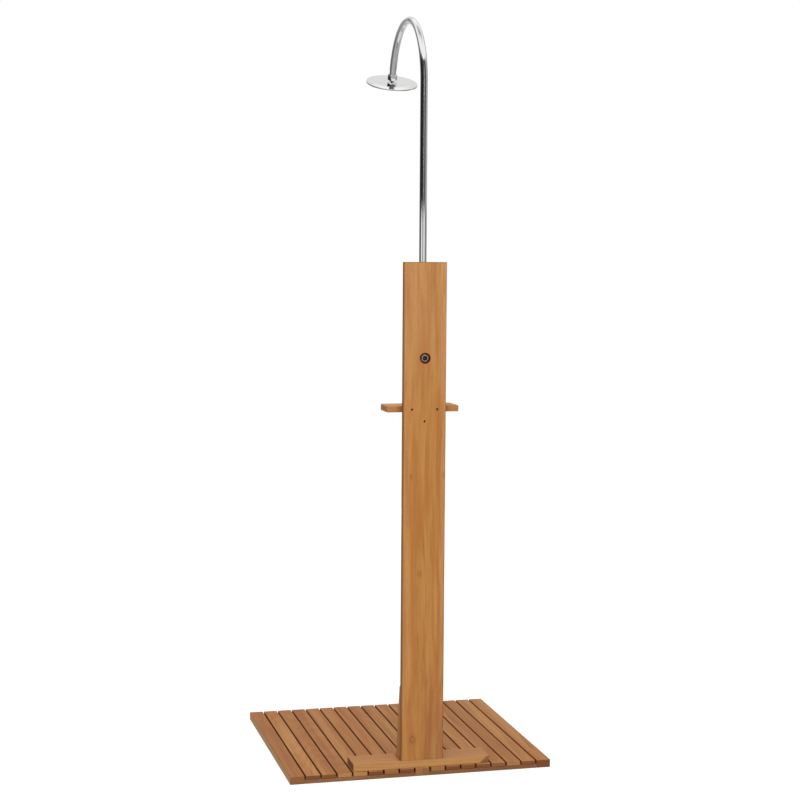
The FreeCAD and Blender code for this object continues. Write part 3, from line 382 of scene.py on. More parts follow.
def post_timber():
    """The plank: small knots, pale strips along both edges, a figure that drifts between red and yellow,
    dark heartwood low on the right, and a dark line along its edges."""
    material, tree, shader = blank_material("post_timber")
    coordinates, place, facing = turned_coordinates(tree, ALONG_Z)
    back = POST_LOW.y
    eyes, halos = [], []
    for x, z, radius in KNOTS:
        knot = use_group(tree, KNOT, Position=place, Centre=(x, back, z), Radius=radius)
        place = knot["Position"]
        eyes.append(knot["Eye"])
        halos.append(knot["Halo"])
    x, _, z = split(tree, place)
    wander = maths(tree, "SUBTRACT", noise(tree, place, (9, 9, 2.2), 2.0), 0.5)
    left = ramp(tree, maths(tree, "MULTIPLY_ADD", wander, 0.026, x), -0.036, -0.046)
    right = ramp(tree, maths(tree, "MULTIPLY_ADD", wander, 0.022, x), 0.0495, 0.0525)
    right = maths(tree, "MULTIPLY", right, ramp(tree, z, 0.14, 0.34))
    strip = maths(tree, "MAXIMUM", maths(tree, "MULTIPLY", left, 0.3), maths(
        tree, "MULTIPLY", right, ramp(tree, z, 0.80, 1.15, 0.55, 1.0)))
    high = ramp(tree, z, 0.95, 1.42)
    low = ramp(tree, z, 0.75, 0.40)
    pale = blend(tree, high, linear("b97e3e"), linear("b8864f"))
    pale = blend(tree, maths(tree, "MULTIPLY", low, 0.8), pale, linear("bd8145"))
    mid = blend(tree, high, linear("af7433"), linear("af7a45"))
    mid = blend(tree, maths(tree, "MULTIPLY", low, 0.8), mid, linear("b4783a"))
    pale = blend(tree, maths(tree, "MULTIPLY", strip, 0.85), pale, linear("c59158"))
    mid = blend(tree, maths(tree, "MULTIPLY", strip, 0.85), mid, linear("bf8850"))
    deep = ramp(tree, maths(tree, "MULTIPLY_ADD", wander, 0.25, z), 0.46, 0.14)
    side = ramp(tree, maths(tree, "MULTIPLY_ADD", wander, 0.05, x), -0.004, 0.030)
    beyond = maths(tree, "MULTIPLY", ramp(tree, maths(tree, "MULTIPLY_ADD", wander, 0.03, x), 0.050, 0.056),
                   ramp(tree, z, 0.12, 0.24))
    side = maths(tree, "MULTIPLY", side, maths(tree, "SUBTRACT", 1.0, beyond))
    heartwood = maths(tree, "MULTIPLY", maths(tree, "MULTIPLY", deep, side), 0.62)
    pale = blend(tree, heartwood, pale, linear("a06a44"))
    mid = blend(tree, heartwood, mid, linear("935a3a"))
    drift = ramp(tree, noise(tree, place, (48, 48, 4.5), 2.0, 0.5, 6.0), 0.40, 0.64, -0.24, 0.42)
    pale = blend(tree, maths(tree, "MAXIMUM", drift, 0.0), pale, linear("b26c36"))
    mid = blend(tree, maths(tree, "MAXIMUM", drift, 0.0), mid, linear("a8642e"))
    warm = maths(tree, "MULTIPLY", maths(tree, "MINIMUM", drift, 0.0), -1.0)
    pale = blend(tree, warm, pale, linear("c8985a"))
    mid = blend(tree, warm, mid, linear("c08d4c"))
    grain = use_group(tree, TIMBER, Position=place, Facing=facing, Heart=(0.012, back + 0.055, 0.0),
                      Board=2.0, Ring_Width=0.0085, Pale=pale, Mid=mid, Dark=linear("8a4f24"),
                      End=linear("8d5f38"), Rings=0.15, Streaks=0.42)
    tone = grain["Color"]
    for eye, halo in zip(eyes, halos):
        tone = blend(tree, maths(tree, "MULTIPLY", halo, 0.22), tone, linear("9a6230"))
        tone = blend(tree, maths(tree, "MULTIPLY", eye, 0.30), tone, linear("6d3f1e"))
    # Painted shade: within the hole's radius round the inlet, the hole's wall turns dark brown.
    inlet = vector_maths(tree, "LENGTH", vector_maths(
        tree, "MULTIPLY", vector_maths(tree, "SUBTRACT", place, (VALVE.x, 0, VALVE.z)), (1, 0, 1)))
    tone = blend(tree, ramp(tree, inlet, INLET_HOLE_R, INLET_HOLE_R - 0.8 * MM), tone, linear("5a2c0e"))
    aside, _, above = split(tree, coordinates.outputs["Object"])
    # Darker along the side and top edges.
    margin = maths(tree, "MINIMUM", maths(tree, "SUBTRACT", POST_HIGH.x, maths(tree, "ABSOLUTE", aside)),
                   maths(tree, "SUBTRACT", POST_HIGH.z, above))
    edge_darkening = maths(tree, "MULTIPLY", ramp(tree, margin, 0.0030, 0.0012), 0.55)
    tone = blend(tree, edge_darkening, tone, linear("6a4522"))
    wire(tree, shader, grain, shine=0.22, color=tone)
    return material


def foot_timber():
    """The foot board: tan, rough dark wood where one corner is missing, a top face darkened with painted
    shade, and painted shade on the top where the plank stands.
    """
    material, tree, shader = blank_material("foot_timber")
    coordinates, place, facing = turned_coordinates(tree, ALONG_X)
    grain = use_group(tree, TIMBER, Position=place, Facing=facing, Heart=(0.01, -0.26, 0.0), Board=5.0,
                      Ring_Width=0.006, Pale=linear("c7935a"), Mid=linear("b9834c"), Dark=linear("8f5d32"),
                      End=linear("7b4e29"), Rings=0.34, Streaks=0.40)
    leaning = vector_maths(tree, "DOT_PRODUCT", coordinates.outputs["Normal"], (0.33, -0.87, -0.36))
    wane = ramp(tree, leaning, 0.95, 0.99)
    top = ramp(tree, vector_maths(tree, "DOT_PRODUCT", coordinates.outputs["Normal"], (0, 0, 1)), 0.8, 0.95)
    # Painted shade: the whole top face is darkened towards brown.
    tone = blend(tree, maths(tree, "MULTIPLY", top, 0.46), grain["Color"], linear("8a5424"))
    aside, depth, _ = split(tree, coordinates.outputs["Object"])
    clear = maths(tree, "MAXIMUM", maths(tree, "SUBTRACT", maths(tree, "ABSOLUTE", aside), POST_HIGH.x),
                  maths(tree, "SUBTRACT", POST_LOW.y, depth))
    # Painted shade: the top darkens within 7 mm of where the plank stands on it.
    painted_plank_shade = maths(tree, "MULTIPLY", ramp(tree, clear, 0.007, 0.0), maths(tree, "MULTIPLY", top, 0.55))
    tone = blend(tree, painted_plank_shade, tone, linear("6a3a1a"))
    tone = blend(tree, maths(tree, "MULTIPLY", wane, 0.45), tone, linear("8a5a2e"))
    wire(tree, shader, grain, shine=0.20, color=tone,
         roughness=maths(tree, "MULTIPLY_ADD", wane, 0.25, grain["Roughness"]))
    return material


def plated(name, tint, roughness, haze, metallic=1.0):
    """Polished, brushed or matt metal, by its roughness and haze."""
    material, tree, shader = blank_material(name)
    place = tree.nodes.new("ShaderNodeTexCoord").outputs["Object"]
    polish = use_group(tree, POLISH, Position=place, Base_Roughness=roughness, Haze=haze, Tint=linear(tint))
    wire(tree, shader, polish, shine=0.5)
    shader.inputs["Metallic"].default_value = metallic
    return material


def moulded(name, tint, roughness):
    """Plastic, rubber, and the dark brown inlet gasket whose colour is painted shade."""
    return plated(name, tint, roughness, 0.08, metallic=0.0)


MATERIALS = {
    "slats": deck_timber("slat_timber", SLAT_LOW.z, 3.0),
    "deck rails": deck_timber("deck_rail_timber", DECK_LOW.z, 3.0),
    "cross rails": plain_timber("cross_rail_timber", ALONG_X, "9c6c48", "885837", "5f3a20", "6f4228", 7.0),
    "post": post_timber(),
    "shelf": shelf_timber(),
    "brace": plain_timber("brace_timber", ALONG_Z, "b98450", "a8713f", "80502a", "75492a", 11.0,
                          (0.10, -0.30, 0.0)),
    "foot": foot_timber(),
    "chrome": plated("polished_chrome", "efefef", 0.045, 0.03),
    "rose": plated("rose_chrome", "f3f3f2", 0.05, 0.03),
    "steel": plated("screw_steel", "9a9894", 0.28, 0.15),
    "dark_steel": plated("sunk_screw_steel", "501604", 0.50, 0.2, metallic=0.4),
    # The pinkish tint is a painted reflection of the surrounding wood.
    "spigot": plated("spigot_steel", "cdbfb2", 0.28, 0.10),
    "brass": plated("turned_brass", "c9a35f", 0.22, 0.12),
    "rubber": moulded("seal_rubber", "1a1a1a", 0.55),
    # Painted shade: dark brown for the gasket in the recess round the inlet.
    "fibre": moulded("gasket_recess_shade", "7a3d12", 0.8),
    "nozzle": moulded("nozzle_rubber", "5c5f63", 0.5),
    "seat": moulded("seat_plastic", "dcdad4", 0.35),
    "face": moulded("face_plastic", "c3c5c8", 0.30),
    "cap": moulded("cap_plastic", "cfd0d2", 0.15),
}

FINISH = {
    "foot_board": "foot", "post_plank": "post", "shelf": "shelf", "shelf_bracket": "brace",
    "knee_brace_left": "brace", "knee_brace_right": "brace", "deck_slat_screws": "steel",
    "panel_bolts": "steel", "panel_nuts": "steel", "foot_board_screws": "steel", "post_foot_screws": "steel",
    "knee_brace_screws": "steel", "fitting_screws": "steel", "post_back_screws": "dark_steel",
    "inlet_spigot": "spigot", "inlet_washer": "rubber", "union_seal": "rubber", "rose_seal": "rubber",
    "valve_cartridge": "brass", "valve_spindle": "brass", "handle_screw": "steel", "rose_screws": "steel",
    "handle_cap": "cap", "ball_seat_ring": "seat", "rose_face": "face", "rose_body": "rose",
}


def finish_of(node):
    if node in FINISH:
        return FINISH[node]
    if node.startswith("deck_slat"):
        return "slats"
    if node.startswith("deck_"):
        return "cross rails" if "cross_rail" in node else "deck rails"
    return "chrome"


for name, piece in node_objects.items():
    piece.data.materials.clear()
    piece.data.materials.append(MATERIALS[finish_of(name)])


# ---------------------------------------------------------------- helpers for shapes
def put_in(name, data):
    """An object for a mesh, a lamp or a camera, linked into the scene."""
    thing = bpy.data.objects.new(name, data)
    bpy.context.collection.objects.link(thing)
    return thing


def geometry_tree(name, inputs):
    return new_group(name, inputs, [("Geometry", "NodeSocketGeometry")], "GeometryNodeTree")


def finish_tree(tree, geometry, material, out):
    """Every tree ends in Realize Instances and Set Material."""
    real = add_node(tree, "GeometryNodeRealizeInstances", {"Geometry": geometry})
    dressed = add_node(tree, "GeometryNodeSetMaterial", {"Geometry": real.outputs[0], "Material": material})
    tree.links.new(dressed.outputs[0], out["Geometry"])


def grow(name, tree, values, place):
    """Runs a geometry tree on an empty mesh and keeps the result as a plain mesh, put in its place."""
    seed_object = put_in(name + "_seed", bpy.data.meshes.new(name + "_seed"))
    modifier = seed_object.modifiers.new("grow", "NODES")
    modifier.node_group = tree
    for item in tree.interface.items_tree:
        if item.in_out == "INPUT" and item.name in values:
            modifier[item.identifier] = values[item.name]
    graph = bpy.context.evaluated_depsgraph_get()
    mesh = bpy.data.meshes.new_from_object(seed_object.evaluated_get(graph), depsgraph=graph)
    seed_object.modifiers.remove(modifier)
    bpy.data.objects.remove(seed_object)
    mesh.transform(place)
    mesh.name = name
    return put_in(name, mesh)


def frame_at(origin, axis):
    """A matrix that puts local Z on an axis and the local origin at a point."""
    return Matrix.Translation(origin) @ Z_AXIS.rotation_difference(axis).to_matrix().to_4x4()


# ---------------------------------------------------------------- spray nozzles under the rose
NOZZLE_RINGS = 6
NOZZLE_TAPER = 0.62          # tip width over base width


def nozzle_tree():
    """Rings of short tapered nozzles on a flat face; each ring has as many more as the first one has."""
    tree, given, out = geometry_tree(
        "spray_nozzles",
        [("Ring Step", "NodeSocketFloat", 0.009), ("First Count", "NodeSocketInt", 6),
         ("Base Radius", "NodeSocketFloat", 0.0013), ("Height", "NodeSocketFloat", 0.0014)])
    tip = maths(tree, "MULTIPLY", given["Base Radius"], NOZZLE_TAPER)
    nozzle = add_node(tree, "GeometryNodeMeshCone",
                      {"Vertices": 10, "Side Segments": 2, "Radius Top": tip,
                       "Radius Bottom": given["Base Radius"], "Depth": given["Height"]})
    joined = tree.nodes.new("GeometryNodeJoinGeometry")
    for ring in range(1, NOZZLE_RINGS + 1):
        circle = add_node(tree, "GeometryNodeMeshCircle",
                          {"Vertices": maths(tree, "MULTIPLY", given["First Count"], float(ring)),
                           "Radius": maths(tree, "MULTIPLY", given["Ring Step"], float(ring))},
                          fill_type="NONE")
        tree.links.new(circle.outputs[0], joined.inputs[0])
    spots = add_node(tree, "GeometryNodeMeshToPoints", {"Mesh": joined.outputs[0]})
    stood = add_node(tree, "GeometryNodeInstanceOnPoints",
                     {"Points": spots.outputs[0], "Instance": nozzle.outputs["Mesh"]})
    finish_tree(tree, stood.outputs[0], MATERIALS["nozzle"], out)
    return tree


FACE_OUT = max((point.co - BALL).dot(ARM_AXIS) for point in node_objects["rose_face"].data.vertices)
nozzles = grow("spray_nozzles", nozzle_tree(), {"Ring Step": 0.0095, "First Count": 6},
               frame_at(BALL + ARM_AXIS * (FACE_OUT - 0.1 * MM), ARM_AXIS))
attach(nozzles, "rose")


# ---------------------------------------------------------------- threaded hose inlet
def thread_tree():
    """A helical ridge; the plain core inside it is turned on its own."""
    tree, given, out = geometry_tree(
        "pipe_thread",
        [("Radius", "NodeSocketFloat", 0.0098), ("Pitch", "NodeSocketFloat", 0.0018),
         ("Turns", "NodeSocketFloat", 4.6), ("Ridge", "NodeSocketFloat", 0.00075)])
    spiral = add_node(tree, "GeometryNodeCurveSpiral",
                      {"Resolution": 40, "Rotations": given["Turns"], "Start Radius": given["Radius"],
                       "End Radius": given["Radius"],
                       "Height": maths(tree, "MULTIPLY", given["Turns"], given["Pitch"])})
    section = add_node(tree, "GeometryNodeCurvePrimitiveCircle", {"Resolution": 6, "Radius": given["Ridge"]})
    ridge = add_node(tree, "GeometryNodeCurveToMesh",
                     {"Curve": spiral.outputs[0], "Profile Curve": section.outputs[0], "Fill Caps": True})
    finish_tree(tree, ridge.outputs[0], MATERIALS["spigot"], out)
    return tree


CREASE = math.radians(10)    # turned faces that meet at more than this keep a crisp edge


def lathe(name, profile, origin, axis, material, segments=64):
    """A closed turned piece from a closed outline of (radius, distance along the axis)."""
    builder = bmesh.new()
    rows = []
    for step in range(segments):
        angle = 2 * math.pi * step / segments
        rows.append([builder.verts.new((radius * math.cos(angle), radius * math.sin(angle), distance))
                     for radius, distance in profile])
    for step, row in enumerate(rows):
        beyond = rows[(step + 1) % segments]
        for k in range(len(profile)):
            k2 = (k + 1) % len(profile)
            if profile[k][0] > 0 or profile[k2][0] > 0:
                builder.faces.new((row[k], beyond[k], beyond[k2], row[k2]))
    bmesh.ops.remove_doubles(builder, verts=builder.verts, dist=1e-6)
    bmesh.ops.recalc_face_normals(builder, faces=builder.faces)
    mesh = bpy.data.meshes.new(name)
    builder.to_mesh(mesh)
    builder.free()
    mesh.transform(frame_at(origin, axis))
    mesh.shade_smooth()
    mesh.set_sharp_from_angle(angle=CREASE)
    mesh.materials.append(material)
    return put_in(name, mesh)


spigot_low, spigot_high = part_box("inlet_spigot")
SPIGOT_R = (spigot_high.x - spigot_low.x) / 2
spigot_end = Vector((0, spigot_low.y, middle("inlet_spigot").z))
THREAD_RIDGE, THREAD_PITCH, THREAD_TURNS = 0.75 * MM, 1.8 * MM, 4.4
thread = grow("inlet_thread", thread_tree(),
              {"Radius": SPIGOT_R - THREAD_RIDGE, "Pitch": THREAD_PITCH, "Turns": THREAD_TURNS,
               "Ridge": THREAD_RIDGE},
              frame_at(spigot_end + Y_AXIS * 0.7 * MM, Y_AXIS))
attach(thread, "frame")
CORE_R = SPIGOT_R - 0.8 * MM
CORE_BORE, CORE_L, CORE_BEVEL = 7.6 * MM, 9.8 * MM, 0.8 * MM
core = lathe("inlet_core", [(CORE_BORE, 0), (CORE_R - CORE_BEVEL, 0), (CORE_R, CORE_BEVEL), (CORE_R, CORE_L),
                            (CORE_BORE, CORE_L)],
             spigot_end, Y_AXIS, MATERIALS["spigot"])
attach(core, "frame")
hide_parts("inlet_spigot")
GASKET_R, GASKET_BORE, GASKET_T, GASKET_BEVEL = 15.4 * MM, SPIGOT_R + 0.1 * MM, 0.9 * MM, 0.4 * MM
valve_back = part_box("valve_body")[0].y
# Painted shade: the gasket's dark brown stands for the shaded recess round the inlet.
gasket = lathe("inlet_gasket", [(GASKET_BORE, -GASKET_T), (GASKET_R - GASKET_BEVEL, -GASKET_T),
                                (GASKET_R, GASKET_BEVEL - GASKET_T), (GASKET_R, 0.0), (GASKET_BORE, 0.0)],
               Vector((0, valve_back, VALVE.z)), Y_AXIS, MATERIALS["fibre"])
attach(gasket, "frame")
STOPPER_R = CORE_BORE - 0.1 * MM
stopper = lathe("check_valve", [(0.0, 0.0052), (0.0016, 0.0048), (0.0040, 0.0056), (0.0052, 0.0040),
                                (0.0060, 0.0020), (STOPPER_R, 0.0010), (STOPPER_R, 0.0080), (0.0, 0.0080)],
                spigot_end, Y_AXIS, MATERIALS["rubber"])
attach(stopper, "frame")


# ---------------------------------------------------------------- dished top of the rose
ROSE_R = max((point.co - BALL).cross(ARM_AXIS).length for point in node_objects["rose_body"].data.vertices)
ROSE_WALL, ROSE_BEVEL = 1.6 * MM, 0.8 * MM
STEM_BORE, BOSS_R, BOSS_FOOT = 4.98 * MM, 9.0 * MM, 3.0 * MM
HUB_R, HUB_H = 20.0 * MM, 7.5 * MM
CROWN_R, CROWN_H = 61.0 * MM, 6.5 * MM
STEP_R, STEP_H = 62.2 * MM, 6.1 * MM
RIM_H = 4.5 * MM
LEDGE_R = ROSE_R - 6.2 * MM
rose_outline = [(STEM_BORE, HUB_H), (HUB_R, HUB_H), (CROWN_R, CROWN_H), (STEP_R, STEP_H),
                (ROSE_R - ROSE_BEVEL, RIM_H), (ROSE_R, RIM_H - ROSE_BEVEL), (ROSE_R, 0.0),
                (ROSE_R - ROSE_WALL, 0.0), (ROSE_R - ROSE_WALL, RIM_H - ROSE_WALL),
                (LEDGE_R, RIM_H - ROSE_WALL), (HUB_R, HUB_H - ROSE_WALL), (BOSS_R, HUB_H - ROSE_WALL),
                (BOSS_R, BOSS_FOOT), (STEM_BORE, BOSS_FOOT)]
shell = lathe("rose_shell", rose_outline, BALL + ARM_AXIS * FACE_OUT, -ARM_AXIS, MATERIALS["rose"],
              segments=144)
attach(shell, "rose")
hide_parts("rose_body")


# ---------------------------------------------------------------- screws with a cross recess
SHANK_R = 2.0 * MM
FLATTEST_SHANK = 3 * MM      # a shell longer than this along the screw is its shank, not its head
FIRST_TURN, NEXT_TURN = 0.35, 0.9        # how far the recesses are turned, in radians


def outline_of_cross(half_width, reach, height):
    """The twelve corners of a cross, in turn."""
    quarter = ((reach, -half_width), (reach, half_width), (half_width, half_width))
    corners = []
    for turn in range(4):
        swing = Matrix.Rotation(turn * math.pi / 2, 2)
        corners += [(*(swing @ Vector(corner)), height) for corner in quarter]
    return corners


def screw_mesh(head_r, head_h, shank_r, length):
    """One wood screw along local Z: the pan head stands on the origin and the shank goes down."""
    builder = bmesh.new()
    rows = ((shank_r * 0.45, -length), (shank_r, -length + 1.5 * shank_r), (shank_r, 0.0), (head_r, 0.0),
            (head_r, head_h * 0.42), (head_r * 0.90, head_h * 0.80), (head_r * 0.70, head_h))
    sides = 28
    loops = [[builder.verts.new((radius * math.cos(2 * math.pi * k / sides),
                                 radius * math.sin(2 * math.pi * k / sides), height)) for k in range(sides)]
             for radius, height in rows]
    for low, high in zip(loops, loops[1:]):
        for k in range(sides):
            k2 = (k + 1) % sides
            builder.faces.new((low[k], low[k2], high[k2], high[k]))
    builder.faces.new(loops[0][::-1])
    mouth, pocket = [[builder.verts.new(corner) for corner in outline_of_cross(*cross)]
                     for cross in ((head_r * 0.12, head_r * 0.55, head_h),
                                   (head_r * 0.07, head_r * 0.30, head_h * 0.35))]
    for k in range(len(mouth)):
        k2 = (k + 1) % len(mouth)
        builder.faces.new((mouth[k], mouth[k2], pocket[k2], pocket[k]))
    builder.faces.new(pocket)
    ring = [builder.edges.get((loop[k], loop[(k + 1) % len(loop)])) for loop in (loops[-1], mouth)
            for k in range(len(loop))]
    bmesh.ops.triangle_fill(builder, edges=ring, use_beauty=True)
    bmesh.ops.recalc_face_normals(builder, faces=builder.faces)
    mesh = bpy.data.meshes.new("screw")
    builder.to_mesh(mesh)
    builder.free()
    return mesh


def islands(mesh):
    """The separate shells of a mesh, as lists of points."""
    source = bmesh.new()
    source.from_mesh(mesh)
    waiting, shells = set(source.verts), []
    while waiting:
        stack, shell = [waiting.pop()], []
        while stack:
            point = stack.pop()
            shell.append(point.co.copy())
            for edge in point.link_edges:
                other = edge.other_vert(point)
                if other in waiting:
                    waiting.remove(other)
                    stack.append(other)
        shells.append(shell)
    source.free()
    return shells


def dressed_screws(node, axis, material):
    """Screws whose heads look along an axis, put where the node's own screws are."""
    groups = {}
    for shell in islands(node_objects[node].data):
        low = Vector([min(point[k] for point in shell) for k in range(3)])
        high = Vector([max(point[k] for point in shell) for k in range(3)])
        centre = (low + high) / 2
        key = tuple(round(c / MM) for k, c in enumerate(centre) if abs(axis[k]) < 0.5)
        groups.setdefault(key, []).append((low, high, centre))
    joined = bmesh.new()
    for index, (_, parts) in enumerate(sorted(groups.items())):
        lows = [min(low.dot(axis), high.dot(axis)) for low, high, _ in parts]
        highs = [max(low.dot(axis), high.dot(axis)) for low, high, _ in parts]
        wide = [max(high - low) / 2 if abs((high - low).dot(axis)) < FLATTEST_SHANK else 0.0
                for low, high, _ in parts]
        head_r = max(wide)
        _, head = max((highs[k] - lows[k], k) for k in range(len(parts)) if wide[k] > head_r - 0.1 * MM)
        centre = parts[head][2]
        foot = centre + axis * (lows[head] - centre.dot(axis))
        screw = screw_mesh(head_r, highs[head] - lows[head], SHANK_R, lows[head] - min(lows))
        turn = Matrix.Rotation(FIRST_TURN + NEXT_TURN * index, 4, "Z")
        screw.transform(frame_at(foot, axis) @ turn)
        joined.from_mesh(screw)
        bpy.data.meshes.remove(screw)
    mesh = bpy.data.meshes.new(node + "_dressed")
    joined.to_mesh(mesh)
    joined.free()
    mesh.materials.append(MATERIALS[material])
    piece = put_in(node + "_dressed", mesh)
    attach(piece, "frame")
    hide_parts(node)


dressed_screws("fitting_screws", Y_AXIS, "steel")
dressed_screws("knee_brace_screws", Y_AXIS, "steel")
dressed_screws("post_back_screws", -Y_AXIS, "dark_steel")


# ---------------------------------------------------------------- floor, light and camera
WHITE, FLOOR_GREY = (1, 1, 1, 1), (0.25, 0.25, 0.25, 1)
FLOOR_HALF, FLOOR_TOP = 14.0, -0.4 * MM
FLOOR_GLOW, FLOOR_GLOW_SEEN = 0.24, 0.62     # what it gives to the object, and what the camera sees on top
SKY_TINT, SKY_STRENGTH = (0.97, 0.985, 1.0, 1), 0.62


def cleared(owner):
    """The empty node tree of a material or a world."""
    owner.use_nodes = True
    owner.node_tree.nodes.clear()
    return owner.node_tree


def seen_plainly(tree):
    """1 for rays from the camera and for mirrored and passed-through ones, 0 for the light they gather."""
    path = tree.nodes.new("ShaderNodeLightPath").outputs
    seen = maths(tree, "MAXIMUM", path["Is Camera Ray"], path["Is Glossy Ray"])
    return maths(tree, "MAXIMUM", seen, path["Is Transmission Ray"])


def floor():
    """A white floor just below the feet."""
    mesh = bpy.data.meshes.new("floor")
    corners = ((-1, -1), (1, -1), (1, 1), (-1, 1))
    mesh.from_pydata([(x * FLOOR_HALF, y * FLOOR_HALF, FLOOR_TOP) for x, y in corners], [], [(0, 1, 2, 3)])
    material = bpy.data.materials.new("studio_floor")
    tree = cleared(material)
    strength = maths(tree, "MULTIPLY_ADD", seen_plainly(tree), FLOOR_GLOW_SEEN, FLOOR_GLOW)
    matte = add_node(tree, "ShaderNodeBsdfDiffuse", {"Color": FLOOR_GREY})
    glow = add_node(tree, "ShaderNodeEmission", {"Color": WHITE, "Strength": strength})
    both = add_node(tree, "ShaderNodeAddShader", {0: matte.outputs[0], 1: glow.outputs[0]})
    add_node(tree, "ShaderNodeOutputMaterial", {"Surface": both.outputs[0]})
    mesh.materials.append(material)
    put_in("floor", mesh)


CAMERA_AT = Vector((-1.3260, -5.3269, 1.5862))
CAMERA_YAW, CAMERA_PITCH, CAMERA_ROLL = 14.136, -5.154, 0.356        # in degrees
CAMERA_FOCAL, FRAME_WIDTH = 1765.8, 800        # both in pixels
SENSOR_MM = 36.0


# What the polished metal sees round the pipe: (bearing in degrees, grey level as on screen).
# Bearing 0 is towards the camera and grows to the picture's right.
LEVEL_TONES = ((-180, 235), (-142, 150), (-112, 100), (-78, 78), (-64, 110), (-50, 255), (-34, 255),
               (-22, 160), (0, 170), (14, 186), (28, 255), (46, 250), (60, 145), (80, 132), (112, 140),
               (150, 165), (180, 235))
UPPER_TONES = ((-180, 228), (-158, 222), (-150, 135), (-142, 165), (-128, 120), (-106, 66), (-80, 30),
               (-58, 34), (-36, 44), (-14, 56), (2, 108), (16, 132), (28, 100), (42, 66), (56, 104),
               (74, 156), (112, 184), (142, 190), (150, 135), (158, 222), (180, 228))
HIGH_TONES = ((-180, 230), (-150, 222), (-130, 190), (-115, 250), (-82, 255), (-62, 90), (-30, 60), (0, 90),
              (30, 80), (62, 120), (82, 255), (115, 250), (130, 190), (150, 222), (180, 230))
OVERHEAD_TONES = ((-180, 255), (-158, 255), (-125, 245), (-100, 255), (100, 255), (125, 245), (158, 255),
                  (180, 255))
CEILING_TONES = ((-180, 200), (-110, 165), (-50, 240), (0, 250), (50, 240), (110, 165), (180, 200))
FLOOR_TONES = ((-180, 215), (-140, 150), (-112, 105), (-84, 115), (-56, 165), (-24, 190), (0, 170), (24, 190),
               (54, 170), (84, 125), (112, 160), (140, 185), (180, 215))
NEAR_FLOOR_TONES = ((-180, 190), (-90, 175), (-40, 185), (0, 165), (40, 185), (90, 175), (180, 190))
# Height in degrees at which each ring of tones starts to take over from the last, and has done so.
BANDS = ((-1.5, -7, FLOOR_TONES), (-26, -40, NEAR_FLOOR_TONES), (1.2, 2.8, UPPER_TONES), (32, 37, HIGH_TONES),
         (42, 47, OVERHEAD_TONES), (62, 74, CEILING_TONES))
SURROUND_R, SURROUND_HEIGHT, SURROUND_FOOT = 4.2, 1.60, 3 * MM


def ring_of_tones(tree, turn, tones):
    """Grey levels round a full turn, as a colour ramp."""
    node = add_node(tree, "ShaderNodeValToRGB", {"Fac": turn})
    while len(node.color_ramp.elements) < len(tones):
        node.color_ramp.elements.new(0.5)
    for stop, (bearing, grey) in zip(node.color_ramp.elements, tones):
        stop.position = (bearing + 180) / 360
        stop.color = linear("%02x%02x%02x" % (grey, grey, grey))
    return node.outputs["Color"]


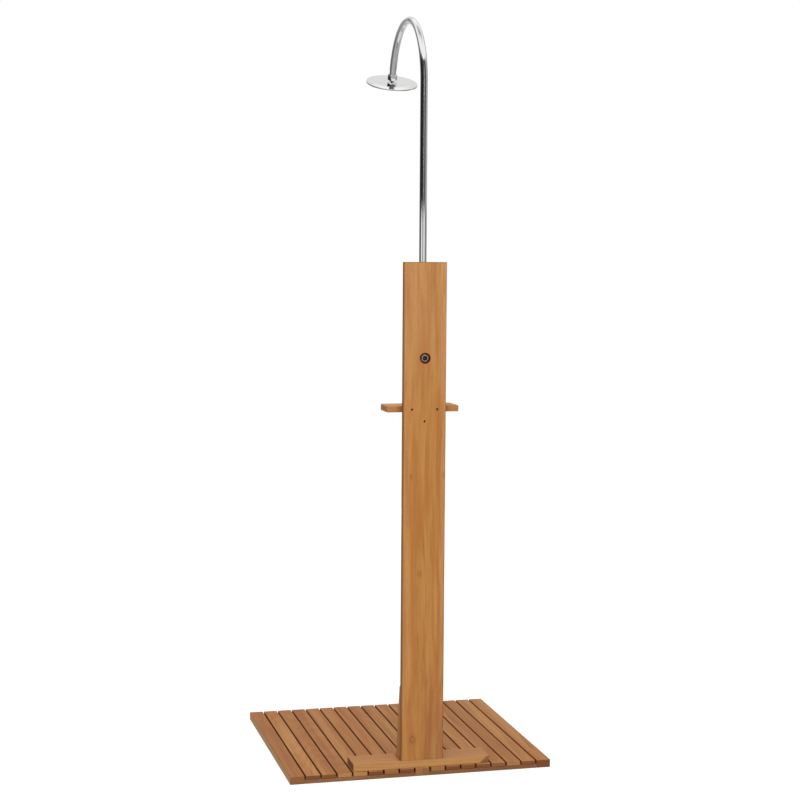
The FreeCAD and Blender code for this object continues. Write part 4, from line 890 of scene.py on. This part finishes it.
def surround():
    """A studio room round the object that only the polished metal sees."""
    centre = Vector((0, POST_LOW.y, SURROUND_HEIGHT))
    towards = ((CAMERA_AT - centre) * Vector((1, 1, 0))).normalized()
    across = Z_AXIS.cross(towards)
    mesh = bpy.data.meshes.new("surround")
    builder = bmesh.new()
    bmesh.ops.create_uvsphere(builder, u_segments=96, v_segments=48, radius=SURROUND_R)
    bmesh.ops.reverse_faces(builder, faces=builder.faces)
    deepest = SURROUND_FOOT - centre.z
    for corner in builder.verts:
        if corner.co.z < deepest:
            corner.co *= deepest / corner.co.z
    builder.to_mesh(mesh)
    builder.free()
    mesh.transform(Matrix.Translation(centre))
    wall = put_in("surround", mesh)
    material = bpy.data.materials.new("studio_wall")
    tree = cleared(material)
    place = tree.nodes.new("ShaderNodeTexCoord").outputs["Object"]
    way = vector_maths(tree, "NORMALIZE", vector_maths(tree, "SUBTRACT", place, tuple(centre)))
    bearing = maths(tree, "ARCTAN2", vector_maths(tree, "DOT_PRODUCT", way, tuple(across)),
                    vector_maths(tree, "DOT_PRODUCT", way, tuple(towards)))
    turn = maths(tree, "MULTIPLY_ADD", bearing, 1 / (2 * math.pi), 0.5)
    rise = maths(tree, "ARCSINE", split(tree, way)[2])
    degree = math.radians(1)
    tone = ring_of_tones(tree, turn, LEVEL_TONES)
    for start, end, tones in BANDS:
        band = ring_of_tones(tree, turn, tones)
        tone = blend(tree, ramp(tree, rise, start * degree, end * degree), tone, band)
    glow = add_node(tree, "ShaderNodeEmission", {"Color": tone, "Strength": 1.0})
    add_node(tree, "ShaderNodeOutputMaterial", {"Surface": glow.outputs[0]})
    mesh.materials.append(material)
    wall.visible_camera = False
    wall.visible_diffuse = False
    wall.visible_shadow = False
    wall.visible_transmission = False


def lamp(name, place, target, side, watts, shines):
    """A square softbox turned to its target; shines says whether polished metal shows it."""
    data = bpy.data.lights.new(name, "AREA")
    data.shape = "SQUARE"
    data.size = side
    data.energy = watts
    light = put_in(name, data)
    light.location = place
    light.rotation_euler = (Vector(target) - Vector(place)).to_track_quat("-Z", "Y").to_euler()
    light.visible_camera = False
    light.visible_glossy = shines


def world():
    """White where it is seen, and a softer sky for the light it gives."""
    sky = bpy.data.worlds.new("studio")
    bpy.context.scene.world = sky
    tree = cleared(sky)
    plain = add_node(tree, "ShaderNodeBackground", {"Color": WHITE, "Strength": 1.0})
    soft = add_node(tree, "ShaderNodeBackground", {"Color": SKY_TINT, "Strength": SKY_STRENGTH})
    mix = add_node(tree, "ShaderNodeMixShader",
                   {0: seen_plainly(tree), 1: soft.outputs[0], 2: plain.outputs[0]})
    add_node(tree, "ShaderNodeOutputWorld", {"Surface": mix.outputs[0]})


def camera():
    """The camera that matches the picture."""
    data = bpy.data.cameras.new("camera")
    data.sensor_width = SENSOR_MM
    data.lens = CAMERA_FOCAL / FRAME_WIDTH * SENSOR_MM
    data.clip_end = 100
    view = put_in("camera", data)
    turn = Matrix.Identity(4)
    for degrees, axis in ((-CAMERA_YAW, "Z"), (90 + CAMERA_PITCH, "X"), (CAMERA_ROLL, "Z")):
        turn = turn @ Matrix.Rotation(math.radians(degrees), 4, axis)
    view.matrix_world = Matrix.Translation(CAMERA_AT) @ turn
    bpy.context.scene.camera = view


floor()
world()
lamp("key_softbox", place=(-0.8, -4.7, 2.9), target=(0, 0, 0.9), side=2.4, watts=122, shines=True)
lamp("back_softbox", place=(1.2, 4.8, 1.0), target=(0, 0, 1.1), side=2.0, watts=42, shines=False)
lamp("top_softbox", place=(-0.6, -0.8, 4.6), target=(0, 0, 0.5), side=3.0, watts=90, shines=False)
surround()
camera()

bpy.context.scene.view_settings.view_transform = "Standard"
